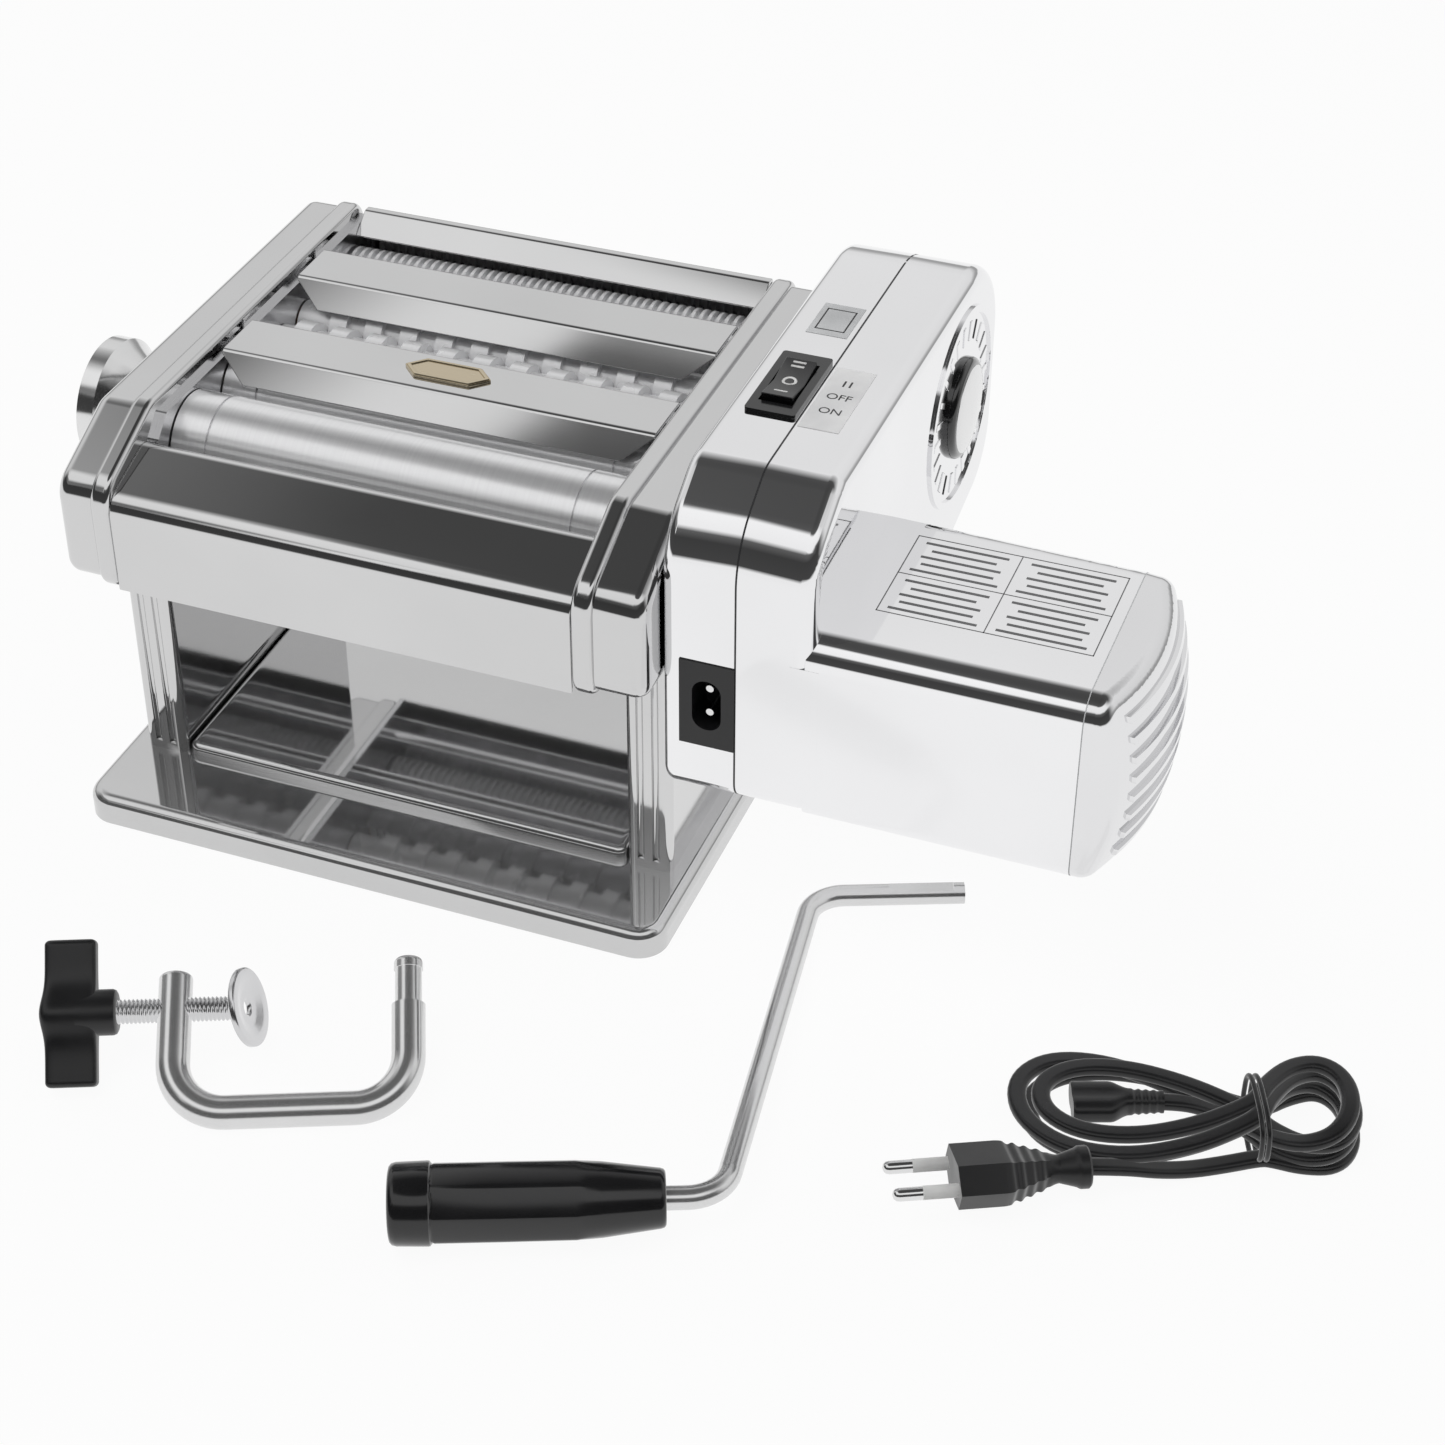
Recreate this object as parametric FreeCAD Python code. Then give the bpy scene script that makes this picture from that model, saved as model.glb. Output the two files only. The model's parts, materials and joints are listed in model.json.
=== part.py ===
import FreeCAD, Part
import math
import os

# Pasta roller machine with its clip-on drive motor, hand crank, table clamp and mains lead.
# Millimetres. X runs along the rollers towards the motor, Y from front to back, Z up.
# The origin is the middle of the base's underside.

V = FreeCAD.Vector
os.makedirs("parts", exist_ok=True)

# Clearances
RUN_FIT = 0.05
SEAT_FIT = 0.05
FREE_GAP = 0.5
DOCK_GAP = 0.3

# Base
BASE_LENGTH = 207.0
BASE_DEPTH = 182.0
BASE_HEIGHT = 10.0
BASE_CORNER = 10.0
BASE_EDGE = 4.0
BASE_RIM = 3.0
BASE_SKIN = 1.5
FLOOR_PLATE_T = 1.2
PAN_RISE = 4.5
PAN_EDGE = 2.5

# Legs
LEG_WIDTH = 15.5
LEG_FRONT = 32.0
LEG_DEPTH = 118.0
LEG_WALL = 1.5
LEG_CORNER = 3.0
FLUTE_R = 1.2

# Body outline, seen from the side
BACK_ROOM = 14.7
BODY_FLOOR = 96.5
NOSE_Z = 134.0
NOSE_RUN = 32.0
NOSE_ROUND = 12.0
BODY_TOP = 149.0
RIM_WIDTH = 6.8
RIM_WALL = 3.0
RIM_EDGE = 2.0
FRAME_T = 3.0
COVER_REACH = 16.2
DIAL_COVER_REACH = 13.2
COVER_WALL = 2.0
COVER_INSET = 1.8
COVER_EDGE = 4.5

# Top plates and apron
ROLL_WIDTH = 150.0
CHEEK_T = 2.0
SHEET_T = 1.2
PLATE_TOP = 146.0
LIP_DROP = 8.4
LIP_RUN = 6.2
LIP_BEVEL = 10.0
LIP_BEHIND_NIP = 6.5
ROLL_SLOT_FRONT = 41.0
WIDE_SLOT_FRONT = 24.9
FINE_SLOT_FRONT = 10.9
BACK_LIP_RUN = 7.8
BACK_LIP_DROP = 6.3
APRON_TOP_Z = 139.6
APRON_LOW_Z = 98.5
SHEET_BEND = 4.0
APRON_BEND = 8.0
CHEEK_TOP = 143.0
BADGE_LENGTH = 30.0
BADGE_DEPTH = 11.0
BADGE_T = 0.8

# Rollers and cutters
ROLLER_DIA = 31.5
FRONT_ROLLER = 51.0
ROLL_Z = 126.0
ROLL_GROOVE_X = 62.0
ROLL_GROOVE = 0.8
GAP_WIDE = 2.4
THROW = 1.05
DIAL_STEPS = 9
DIAL_STEP_DEG = 18.0
END_PLAY = 0.4
ROLLER_SHAFT_R = 6.0
CUTTER_SHAFT_R = 5.0
BUSH_WALL = 2.0
CUTTER_Z = 127.0
WIDE_R = 10.0
WIDE_STRIP = 6.5
WIDE_BITE = 2.0
FINE_R = 9.25
FINE_STRIP = 1.5
FINE_BITE = 1.5
CUT_CLEAR = 0.3
ROW_GAP = 1.2
COMB_T = 1.0
COMB_LOW = 103.0
SCRAPER_DEPTH = 13.0
SCRAPER_T = 2.2

# Gears behind the right cover
NUT_T = 4.0
ROLLER_GEAR_TEETH = 16
ROLLER_GEAR_MODULE = 2.0
CUTTER_GEAR_T = 5.0
ROLLER_GEAR_T = 6.0
WIDE_GEAR_TEETH = 18
FINE_GEAR_TEETH = 17
CUTTER_GEAR_MODULE = 1.0
ADDENDUM = 0.9
DEDENDUM = 1.3
TIP_SHARE = 0.10
ROOT_SHARE = 0.26

# Thickness dial
BLOCK_DEPTH = 20.0
BLOCK_HEIGHT = 22.0
BLOCK_FLANGE = 3.0
BLOCK_LIP = 2.0
YOKE_T = 5.0
ECCENTRIC_R = 6.0
YOKE_PLAY = 0.35
DIAL_SHAFT_R = 5.0
BOSS_WALL = 4.0
DIAL_DROP = 10.5
DIAL_AHEAD = 6.5
KNOB_R = 21.5
KNOB_NECK_R = 12.0
KNOB_NECK = 8.5
KNOB_FLARE = 10.0
KNOB_RIM = 6.0
KNOB_DOME = 3.0
KNOB_FLOOR = 8.0
SPRING_R = 7.2
SPRING_WIRE = 0.6
SPRING_TURNS = 4.0
SPRING_STEPS = 14
WASHER_R = 8.6
WASHER_T = 1.6
INDEX_CIRCLE_R = 9.5
INDEX_NUB_R = 1.2
INDEX_DIMPLE = 1.0

# Tie rods and screws
TIE_R = 3.0
TIE_NUT_R = 5.0
SCREW_R = 1.75
SCREW_HEAD_R = 3.2
SCREW_HEAD_T = 2.0

# Motor unit
MOTOR_FRONT = 14.0
MOTOR_LOW = 60.0
OUTPUT_HEADROOM = 2.15
GEAR_CASE_WIDTH = 23.4
MOTOR_HALF_WIDTH = 24.0
CASE_WALL = 2.5
CASE_EDGE = 5.0
CASE_INNER_EDGE = 3.5
SLAB_BACK = 202.0
ROUND_END_R = 33.0
CASE_NOSE_RUN = 24.0
CASE_NOSE_R = 14.0
CASE_NOSE_FALL_R = 24.0
CASE_SCREW_INSET = 12.0
CASE_SCREW_DROP = 14.0
CASE_SCREW_BACK = 9.0
CASE_SCREW_BACK_DROP = 26.0
MOTOR_HEEL = 108.0
BOX_LENGTH = 80.0
BOX_DEPTH = 80.0
BOX_TOP = 124.7
BOX_DRAFT = 2.5
BOX_CORNER = 9.0
BOX_FOOT_CORNER = 6.0
BOX_STEP = 1.2
BOX_STEP_WIDTH = 11.0
CAP_LENGTH = 19.0
CAP_CROWN_R = 95.0
CAP_EDGE = 6.0
CAP_RIBS = 8
CAP_RIB_PITCH = 6.9
CAP_RIB_T = 2.2
CAP_RIB_MARGIN = 9.0
CAP_RIB_DEPTH = 1.2
EMBLEM = 160.0
EMBLEM_DROP = 43.0
EMBLEM_R = 34.0
EMBLEM_RISE = 0.8
BADGE_DISC_R = 17.0
BADGE_DISC_RISE = 3.0
MOTOR_AXIS = 60.0
MOTOR_AXIS_Z = 92.0
DOCK_PIN_R = 4.0
DOCK_PIN_REACH = 9.0

# Motor gear train: tooth counts and modules from the armature to the output spindle
PINION_TEETH = 10
FIRST_LARGE_TEETH = 44
FIRST_SMALL_TEETH = 12
SECOND_LARGE_TEETH = 40
SECOND_SMALL_TEETH = 12
OUTPUT_TEETH = 44
FIRST_MODULE = 1.0
SECOND_MODULE = 1.25
THIRD_MODULE = 1.5
TRAIN_T = 6.0
TRAIN_GAP = 1.5
TRAIN_ANGLE_DEG = 30.0
IDLER_PIN_R = 2.5
SPINDLE_R = 6.0

# Motor inside
ARMATURE_R = 16.0
ARMATURE_LENGTH = 34.0
AIR_GAP = 0.6
STATOR_GAP = 1.0
STATOR_HEIGHT = 46.0
STATOR_STAND = 10.0
SHAFT_R = 3.0
FAN_CLEAR = 6.0
FAN_T = 8.0
FAN_BLADES = 8
BEARING_R = 7.0
BEARING_LENGTH = 6.0

# Switch and mains inlet
SWITCH_WIDTH = 16.0
SWITCH_LENGTH = 36.0
SWITCH_MID = 84.0
SWITCH_PROUD = 1.2
SWITCH_DEEP = 15.0
ROCKER_LENGTH = 23.0
ROCKER_WIDTH = 10.0
ROCKER_RISE = 3.2
ROCKER_DIP = 1.4
ROCKER_KEEL = 6.0
INLET_WIDTH = 17.5
INLET_HEIGHT = 30.4
INLET_MID_Z = 95.0
INLET_DEEP = 18.0
INLET_SOCKET_R = 4.6
INLET_SOCKET_DEEP = 12.0
INLET_PIN_SPACING = 8.6
INLET_PIN_R = 1.2
INLET_PIN_LENGTH = 9.0

# Hand crank, lying in front of the motor
CRANK_R = 3.5
CRANK_THROW = 139.0
CRANK_REACH = 94.0
CRANK_SLANT = 35.0
CRANK_END = 48.5
CRANK_BEND = 13.0
CRANK_FLAT = 0.9
GRIP_LENGTH = 78.0
GRIP_R = 12.0
GRIP_NOSE_R = 8.2
GRIP_BUTT = 12.0
GRIP_NOSE = 24.0
GRIP_FACETS = 8
CRANK_ASIDE = 75.2
CRANK_AHEAD = 133.0
CRANK_YAW_DEG = 23.0
SOCKET_DEPTH = 16.0
SOCKET_FIT = 0.08

# Table clamp, lying in front of the base
CLAMP_ROD_R = 5.1
CLAMP_SPAN = 70.0
CLAMP_BEND = 16.0
CLAMP_SCREW_ARM = 44.2
CLAMP_SCREW_Z = 33.0
CLAMP_PEG_ARM = 32.0
PEG_R = 4.4
PEG_LENGTH = 15.0
PEG_HEAD = 3.5
PEG_NECK = 0.35
CLAMP_SCREW_R = 3.8
CLAMP_SCREW_OUT = 12.0
CLAMP_SCREW_IN = 13.0
CLAMP_PAD_R = 12.0
CLAMP_PAD_T = 3.6
CLAMP_PAD_TILT_DEG = 20.0
WING_LENGTH = 44.0
WING_WIDTH = 16.0
WING_T = 7.0
WING_HUB_R = 7.0
WING_HUB = 22.0
WING_BLEND = 3.0
ROD_END = 1.5
CLAMP_ASIDE = 28.3
CLAMP_AHEAD = 103.7
CLAMP_YAW_DEG = 24.0
CLAMP_TILT_DEG = 25.0
SOCKET_Z = 24.0
CLAMP_SOCKET_DEPTH = 14.0

# Mains lead, tied in a hank to the right of the crank
CORD_DIA = 5.6
HANK_ASIDE = 273.0
HANK_AHEAD = 4.0
HANK_YAW_DEG = 21.0
HANK_LENGTH = 104.0
HANK_WIDTH = 46.0
HANK_HEIGHT = 17.0
HANK_EYE_LENGTH = 34.0
HANK_EYE_WIDTH = 20.0
HANK_EYE_OFFSET = -24.0
TAIL_RUN = 14.0
TAIL_BEND = 18.0
TIE_WRAP_OFFSET = 18.0
TIE_WRAP_WIDTH = 7.0
TIE_WRAP_T = 1.0
PLUG_ASIDE = 219.0
PLUG_AHEAD = 62.5
PLUG_HEIGHT = 8.9
PLUG_YAW_DEG = 27.0
PLUG_ROLL_DEG = -20.0
PLUG_BLOCK = 13.0
PLUG_LENGTH = 30.0
PLUG_WIDTH = 26.0
PLUG_FLAT = 15.0
PLUG_T = 13.5
PLUG_TAIL_WIDTH = 10.0
PLUG_TAIL_T = 8.5
RELIEF_LENGTH = 9.0
COLLAR_R = 6.2
COLLAR_T = 3.0
PLUG_PIN_R = 2.0
PLUG_PIN_LENGTH = 19.0
PLUG_PIN_SPACING = 17.5
CONNECTOR_LENGTH = 16.0
CONNECTOR_WIDTH = 14.0
CONNECTOR_T = 8.0
CONNECTOR_BOOT = 11.0

# Worked-out places
ROLLER_R = ROLLER_DIA / 2
WIDE_SPACING = 2 * WIDE_R - WIDE_BITE
FINE_SPACING = 2 * FINE_R - FINE_BITE
ROLL_ROW = FRONT_ROLLER + ROLLER_DIA + GAP_WIDE + ROLLER_R
WIDE_ROW = ROW_GAP + WIDE_R + WIDE_SPACING + WIDE_R
FINE_ROW = ROW_GAP + FINE_R + FINE_SPACING
BODY_DEPTH = ROLL_ROW + WIDE_ROW + FINE_ROW + BACK_ROOM
FRONT = -BODY_DEPTH / 2
BASE_FRONT = -BASE_DEPTH / 2
OUTPUT_TIP_R = (OUTPUT_TEETH / 2 + ADDENDUM) * THIRD_MODULE
MOTOR_TOP = CUTTER_Z + OUTPUT_TIP_R + OUTPUT_HEADROOM + CASE_WALL
EMBLEM_Z = MOTOR_TOP - EMBLEM_DROP
CHEEK_X = ROLL_WIDTH / 2
FRAME_X = CHEEK_X + CHEEK_T
RIM_X = FRAME_X + RIM_WIDTH
COVER_X = RIM_X + COVER_REACH
DIAL_COVER_X = RIM_X + DIAL_COVER_REACH
GEAR_ROOM_X = FRAME_X + FRAME_T
LEG_IN_X = FRAME_X + FRAME_T + FREE_GAP
LEG_OUT_X = LEG_IN_X + LEG_WIDTH
FRONT_Y = FRONT + FRONT_ROLLER
REAR_Y = FRONT_Y + ROLLER_DIA + GAP_WIDE
DIAL_Y = REAR_Y - THROW - DIAL_AHEAD
DIAL_Z = ROLL_Z - DIAL_DROP
DIAL_TURN = math.radians(DIAL_STEPS * DIAL_STEP_DEG)
CARRIAGE_TRAVEL = THROW * (1 - math.cos(DIAL_TURN))
ROLL_NIP = FRONT_Y + (REAR_Y - FRONT_Y) / 2
WIDE_FRONT_Y = REAR_Y + ROLLER_R + ROW_GAP + WIDE_R
WIDE_REAR_Y = WIDE_FRONT_Y + WIDE_SPACING
FINE_FRONT_Y = WIDE_REAR_Y + WIDE_R + ROW_GAP + FINE_R
FINE_REAR_Y = FINE_FRONT_Y + FINE_SPACING
WIDE_NIP = (WIDE_FRONT_Y + WIDE_REAR_Y) / 2
FINE_NIP = (FINE_FRONT_Y + FINE_REAR_Y) / 2
ROLL_HALF = CHEEK_X - END_PLAY
ROLLER_GEAR_X = GEAR_ROOM_X + NUT_T + FREE_GAP
CUTTER_GEAR_X = ROLLER_GEAR_X + ROLLER_GEAR_T + FREE_GAP
SHAFT_END_X = COVER_X - FREE_GAP
MOTOR_X = COVER_X + DOCK_GAP
PARTING_X = MOTOR_X + GEAR_CASE_WIDTH
SLAB_X = PARTING_X + MOTOR_HALF_WIDTH
SEAM_X = SLAB_X + BOX_LENGTH
MOTOR_FRONT_Y = FRONT + MOTOR_FRONT
BOX_MID_Y = MOTOR_FRONT_Y + BOX_DEPTH / 2
EMBLEM_Y = FRONT + EMBLEM
SLAB_BACK_Y = FRONT + SLAB_BACK
ARMATURE_Y = FRONT + MOTOR_AXIS
STATOR_HALF = MOTOR_FRONT + BOX_DEPTH - MOTOR_AXIS - BOX_DRAFT - CASE_WALL - STATOR_GAP
FAN_R = STATOR_HALF - FAN_CLEAR
ROLLER_BUSH_R = ROLLER_SHAFT_R + BUSH_WALL
CUTTER_BUSH_R = CUTTER_SHAFT_R + BUSH_WALL
CRANK_PLACE = V(CRANK_ASIDE, BASE_FRONT - CRANK_AHEAD, 0)
CLAMP_PLACE = V(CLAMP_ASIDE, BASE_FRONT - CLAMP_AHEAD, 0)
HANK_MID = V(HANK_ASIDE, BASE_FRONT - HANK_AHEAD, 0)
PLUG_PLACE = V(PLUG_ASIDE, BASE_FRONT - PLUG_AHEAD, PLUG_HEIGHT)


# Shape helpers
def box(x0, x1, y0, y1, z0, z1):
    return Part.makeBox(x1 - x0, y1 - y0, z1 - z0, V(x0, y0, z0))


def rod_x(radius, x0, x1, y, z):
    return Part.makeCylinder(radius, x1 - x0, V(x0, y, z), V(1, 0, 0))


def rod_z(radius, x, y, z0, z1):
    return Part.makeCylinder(radius, z1 - z0, V(x, y, z0), V(0, 0, 1))


def joined(shapes):
    return shapes[0].multiFuse(shapes[1:]).removeSplitter()


def on_x(x):
    return lambda u, v: V(x, u, v)


def on_y(y):
    return lambda u, v: V(u, y, v)


def on_z(z):
    return lambda u, v: V(u, v, z)


def rounded_wire(corners, place):
    # A closed outline of straight sides whose corners (u, v, radius) are turned into arcs.
    starts = []
    middles = []
    ends = []
    total = len(corners)
    for i in range(total):
        here = V(corners[i][0], corners[i][1], 0)
        came = here - V(corners[i - 1][0], corners[i - 1][1], 0)
        goes = V(corners[(i + 1) % total][0], corners[(i + 1) % total][1], 0) - here
        came.normalize()
        goes.normalize()
        radius = corners[i][2]
        half = came.getAngle(goes) / 2
        back = radius * math.tan(half)
        inward = goes - came
        middle = here
        if radius > 0:
            inward.normalize()
            middle = here + inward * (radius / math.cos(half) - radius)
        starts.append(here - came * back)
        middles.append(middle)
        ends.append(here + goes * back)
    edges = []
    for i in range(total):
        if corners[i][2] > 0:
            points = [place(p.x, p.y) for p in (starts[i], middles[i], ends[i])]
            edges.append(Part.Arc(*points).toShape())
        first = place(ends[i].x, ends[i].y)
        last = place(starts[(i + 1) % total].x, starts[(i + 1) % total].y)
        if first.distanceToPoint(last) > 1e-6:
            edges.append(Part.LineSegment(first, last).toShape())
    return Part.Wire(edges)


def prism_x(corners, x0, x1, inset=0.0):
    wire = rounded_wire(corners, on_x(x0))
    if inset:
        wire = wire.makeOffset2D(-inset)
    return Part.Face(wire).extrude(V(x1 - x0, 0, 0))


def prism_y(corners, y0, y1):
    return Part.Face(rounded_wire(corners, on_y(y0))).extrude(V(0, y1 - y0, 0))


def prism_z(corners, z0, z1):
    return Part.Face(rounded_wire(corners, on_z(z0))).extrude(V(0, 0, z1 - z0))


def rectangle(u0, u1, v0, v1, radius=0.0):
    return [(u0, v0, radius), (u1, v0, radius), (u1, v1, radius), (u0, v1, radius)]


def polygon_x(points, x0, x1):
    wire = Part.makePolygon([V(x0, y, z) for y, z in points] + [V(x0, *points[0])])
    return Part.Face(wire).extrude(V(x1 - x0, 0, 0))


def spun_x(outline, y, z):
    # A turned piece: an outline of (x, radius) points swept round a line along X.
    wire = Part.makePolygon([V(x, r, 0) for x, r in outline] + [V(outline[0][0], outline[0][1], 0)])
    solid = Part.Face(wire).revolve(V(0, 0, 0), V(1, 0, 0), 360)
    solid.translate(V(0, y, z))
    return solid


def rounded_at_x(shape, x, radius):
    picked = [e for e in shape.Edges if all(abs(p.Point.x - x) < 1e-4 for p in e.Vertexes)]
    return shape.makeFillet(radius, picked)


def rounded_at_z(shape, z, radius):
    picked = [e for e in shape.Edges if all(abs(p.Point.z - z) < 1e-4 for p in e.Vertexes)]
    return shape.makeFillet(radius, picked)


def bent_sheet(points, x0, x1, bends):
    # A folded sheet: the outer line of (y, z) points with the radius of each fold, the metal on its right.
    vectors = [V(y, z, 0) for y, z in points]
    runs = [vectors[i + 1] - vectors[i] for i in range(len(vectors) - 1)]
    sides = []
    for run in runs:
        run.normalize()
        sides.append(V(run.y, -run.x, 0))
    inner = []
    for i, point in enumerate(vectors):
        first = sides[max(i - 1, 0)]
        second = sides[min(i, len(sides) - 1)]
        inner.append(point + (first + second) * (SHEET_T / (1 + first.dot(second))))
    outer_corners = []
    inner_corners = []
    for i, point in enumerate(vectors):
        at_end = i in (0, len(vectors) - 1)
        turns_right = not at_end and runs[i - 1].cross(runs[i]).z < 0
        wide = 0 if at_end else bends[i - 1]
        tight = 0 if at_end else wide - SHEET_T
        outer_corners.append((point.x, point.y, wide if turns_right else tight))
        inner_corners.append((inner[i].x, inner[i].y, tight if turns_right else wide))
    return prism_x(outer_corners + inner_corners[::-1], x0, x1)


def mirrored(shape):
    return shape.mirror(V(0, 0, 0), V(1, 0, 0))


def pipe(points, bend, radius):
    # A bent round bar: straight runs joined by arcs of one radius.
    edges = []
    start = points[0]
    for i in range(1, len(points) - 1):
        came = points[i] - points[i - 1]
        goes = points[i + 1] - points[i]
        came.normalize()
        goes.normalize()
        half = came.getAngle(goes) / 2
        back = bend * math.tan(half)
        inward = goes - came
        inward.normalize()
        first = points[i] - came * back
        middle = points[i] + inward * (bend / math.cos(half) - bend)
        last = points[i] + goes * back
        edges.append(Part.LineSegment(start, first).toShape())
        edges.append(Part.Arc(first, middle, last).toShape())
        start = last
    edges.append(Part.LineSegment(start, points[-1]).toShape())
    path = Part.Wire(edges)
    circle = Part.Wire(Part.makeCircle(radius, points[0], points[1] - points[0]))
    return path.makePipeShell([circle], True, True)


def placed(shape, place, yaw=0.0, pitch=0.0, roll=0.0):
    moved = shape.copy()
    moved.Placement = FreeCAD.Placement(place, FreeCAD.Rotation(yaw, pitch, roll)).multiply(moved.Placement)
    return moved


def loft(first, second):
    return Part.makeLoft([first, second], True, True)


def save(node, shape):
    shape.exportStep("parts/" + node + ".step")


# Gear helpers
def gear(teeth, module, phase, y, z, x0, x1):
    pitch_r = teeth * module / 2
    tip_r = pitch_r + ADDENDUM * module
    root_r = pitch_r - DEDENDUM * module
    pitch = 2 * math.pi / teeth
    flanks = [(root_r, -ROOT_SHARE), (tip_r, -TIP_SHARE), (tip_r, TIP_SHARE), (root_r, ROOT_SHARE)]
    points = []
    for k in range(teeth):
        middle = phase + k * pitch
        for radius, share in flanks:
            angle = middle + share * pitch
            points.append((y + radius * math.cos(angle), z + radius * math.sin(angle)))
    return polygon_x(points, x0, x1)


def meshed_phase(phase, teeth, direction, other_teeth):
    # The turn of a gear that sets its gap on the tooth of the gear it meets.
    share = (direction - phase) / (2 * math.pi / teeth)
    return direction + math.pi + (share - 0.5) * 2 * math.pi / other_teeth


# Base and legs
def base_outline(inset, radius):
    half_x = BASE_LENGTH / 2 - inset
    half_y = BASE_DEPTH / 2 - inset
    return rectangle(-half_x, half_x, -half_y, half_y, radius)


def make_base():
    tray = prism_z(base_outline(0, BASE_CORNER), 0, BASE_HEIGHT)
    tray = rounded_at_z(tray, BASE_HEIGHT, BASE_EDGE)
    hollow = prism_z(base_outline(BASE_RIM, BASE_CORNER - BASE_RIM), 0, BASE_HEIGHT - BASE_SKIN)
    tray = tray.cut(hollow)
    holes = [rod_z(SCREW_R + SEAT_FIT, x, y, 0, BASE_HEIGHT) for x, y in foot_screws()]
    tray = tray.cut(Part.makeCompound(holes))
    save("base_tray", tray)

    plate = prism_z(base_outline(BASE_RIM + SEAT_FIT, BASE_CORNER - BASE_RIM), 0, FLOOR_PLATE_T)
    reliefs = [rod_z(SCREW_HEAD_R + FREE_GAP, x, y, 0, FLOOR_PLATE_T) for x, y in foot_screws()]
    save("floor_plate", plate.cut(Part.makeCompound(reliefs)))

    pan_x = LEG_IN_X - FREE_GAP
    pan_y0 = FRONT + LEG_FRONT
    pan_y1 = pan_y0 + LEG_DEPTH
    top = BASE_HEIGHT + PAN_RISE
    pan = prism_z(rectangle(-pan_x, pan_x, pan_y0, pan_y1, PAN_EDGE + SHEET_T), BASE_HEIGHT, top)
    pan = rounded_at_z(pan, top, PAN_EDGE)
    inner = rectangle(-pan_x + PAN_EDGE, pan_x - PAN_EDGE, pan_y0 + PAN_EDGE, pan_y1 - PAN_EDGE, SHEET_T)
    save("catch_pan", pan.cut(prism_z(inner, BASE_HEIGHT, top - SHEET_T)))


def foot_screws():
    middle = (LEG_IN_X + LEG_OUT_X) / 2
    front = FRONT + LEG_FRONT + LEG_DEPTH / 5
    back = FRONT + LEG_FRONT + LEG_DEPTH * 4 / 5
    return [(side * middle, y) for side in (-1, 1) for y in (front, back)]


def make_leg():
    y0 = FRONT + LEG_FRONT
    y1 = y0 + LEG_DEPTH
    leg = prism_z(rectangle(LEG_IN_X, LEG_OUT_X, y0, y1, LEG_CORNER), BASE_HEIGHT, BODY_FLOOR)
    inner_x = (LEG_IN_X + LEG_WALL, LEG_OUT_X - LEG_WALL)
    inner = rectangle(*inner_x, y0 + LEG_WALL + FLUTE_R, y1 - LEG_WALL, LEG_WALL)
    foot = BASE_HEIGHT + LEG_WALL
    leg = leg.cut(prism_z(inner, foot, BODY_FLOOR))
    for share in (1 / 3, 2 / 3):
        x = LEG_IN_X + LEG_WIDTH * share
        leg = leg.cut(rod_z(FLUTE_R, x, y0, foot + LEG_WALL, BODY_FLOOR))
    middle = (LEG_IN_X + LEG_OUT_X) / 2
    holes = [rod_z(SCREW_R + SEAT_FIT, middle, y, BASE_HEIGHT, foot) for x, y in foot_screws() if x > 0]
    return leg.cut(Part.makeCompound(holes))


def make_legs():
    leg = make_leg()
    save("right_leg", leg)
    left = mirrored(leg)
    socket_y = FRONT + LEG_FRONT + LEG_DEPTH / 2
    sleeve_r = PEG_R + SOCKET_FIT + LEG_WALL
    sleeve = rod_x(sleeve_r, -LEG_OUT_X + LEG_WALL, -LEG_OUT_X + CLAMP_SOCKET_DEPTH, socket_y, SOCKET_Z)
    bore = rod_x(PEG_R + SOCKET_FIT, -LEG_OUT_X, -LEG_OUT_X + CLAMP_SOCKET_DEPTH, socket_y, SOCKET_Z)
    save("left_leg", joined([left, sleeve]).cut(bore))

    screws = []
    for x, y in foot_screws():
        shank = rod_z(SCREW_R, x, y, BASE_HEIGHT - BASE_SKIN, BASE_HEIGHT + LEG_WALL + SCREW_HEAD_T)
        head = rod_z(SCREW_HEAD_R, x, y, BASE_HEIGHT - BASE_SKIN - SCREW_HEAD_T, BASE_HEIGHT - BASE_SKIN)
        screws.append(shank.fuse(head).removeSplitter())
    save("foot_screws", Part.makeCompound(screws))


# Body sides
def side_outline():
    y0 = FRONT
    y1 = FRONT + BODY_DEPTH
    return [
        (y0, BODY_FLOOR, 8.0),
        (y1, BODY_FLOOR, 8.0),
        (y1, BODY_TOP, 8.0),
        (y0 + NOSE_RUN, BODY_TOP, 12.0),
        (y0, NOSE_Z, NOSE_ROUND),
    ]


def fixed_axes():
    return [
        (FRONT_Y, ROLL_Z, ROLLER_SHAFT_R),
        (WIDE_FRONT_Y, CUTTER_Z, CUTTER_SHAFT_R),
        (WIDE_REAR_Y, CUTTER_Z, CUTTER_SHAFT_R),
        (FINE_FRONT_Y, CUTTER_Z, CUTTER_SHAFT_R),
        (FINE_REAR_Y, CUTTER_Z, CUTTER_SHAFT_R),
    ]


def driven_axes():
    return [fixed_axes()[0], fixed_axes()[2], fixed_axes()[3]]


def tie_places():
    return [
        (FRONT_Y - ROLLER_R * 2, ROLL_Z - ROLLER_R),
        (REAR_Y + ROLLER_R - TIE_R, BODY_FLOOR + 2 * TIE_NUT_R),
        (FINE_REAR_Y, BODY_FLOOR + 2 * TIE_NUT_R),
    ]


def block_slot(x0, x1):
    y0 = REAR_Y - BLOCK_DEPTH / 2 - CARRIAGE_TRAVEL - FREE_GAP
    y1 = REAR_Y + BLOCK_DEPTH / 2 + FREE_GAP
    half = BLOCK_HEIGHT / 2 + RUN_FIT * 2
    return box(x0, x1, y0, y1, ROLL_Z - half, ROLL_Z + half)


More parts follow.
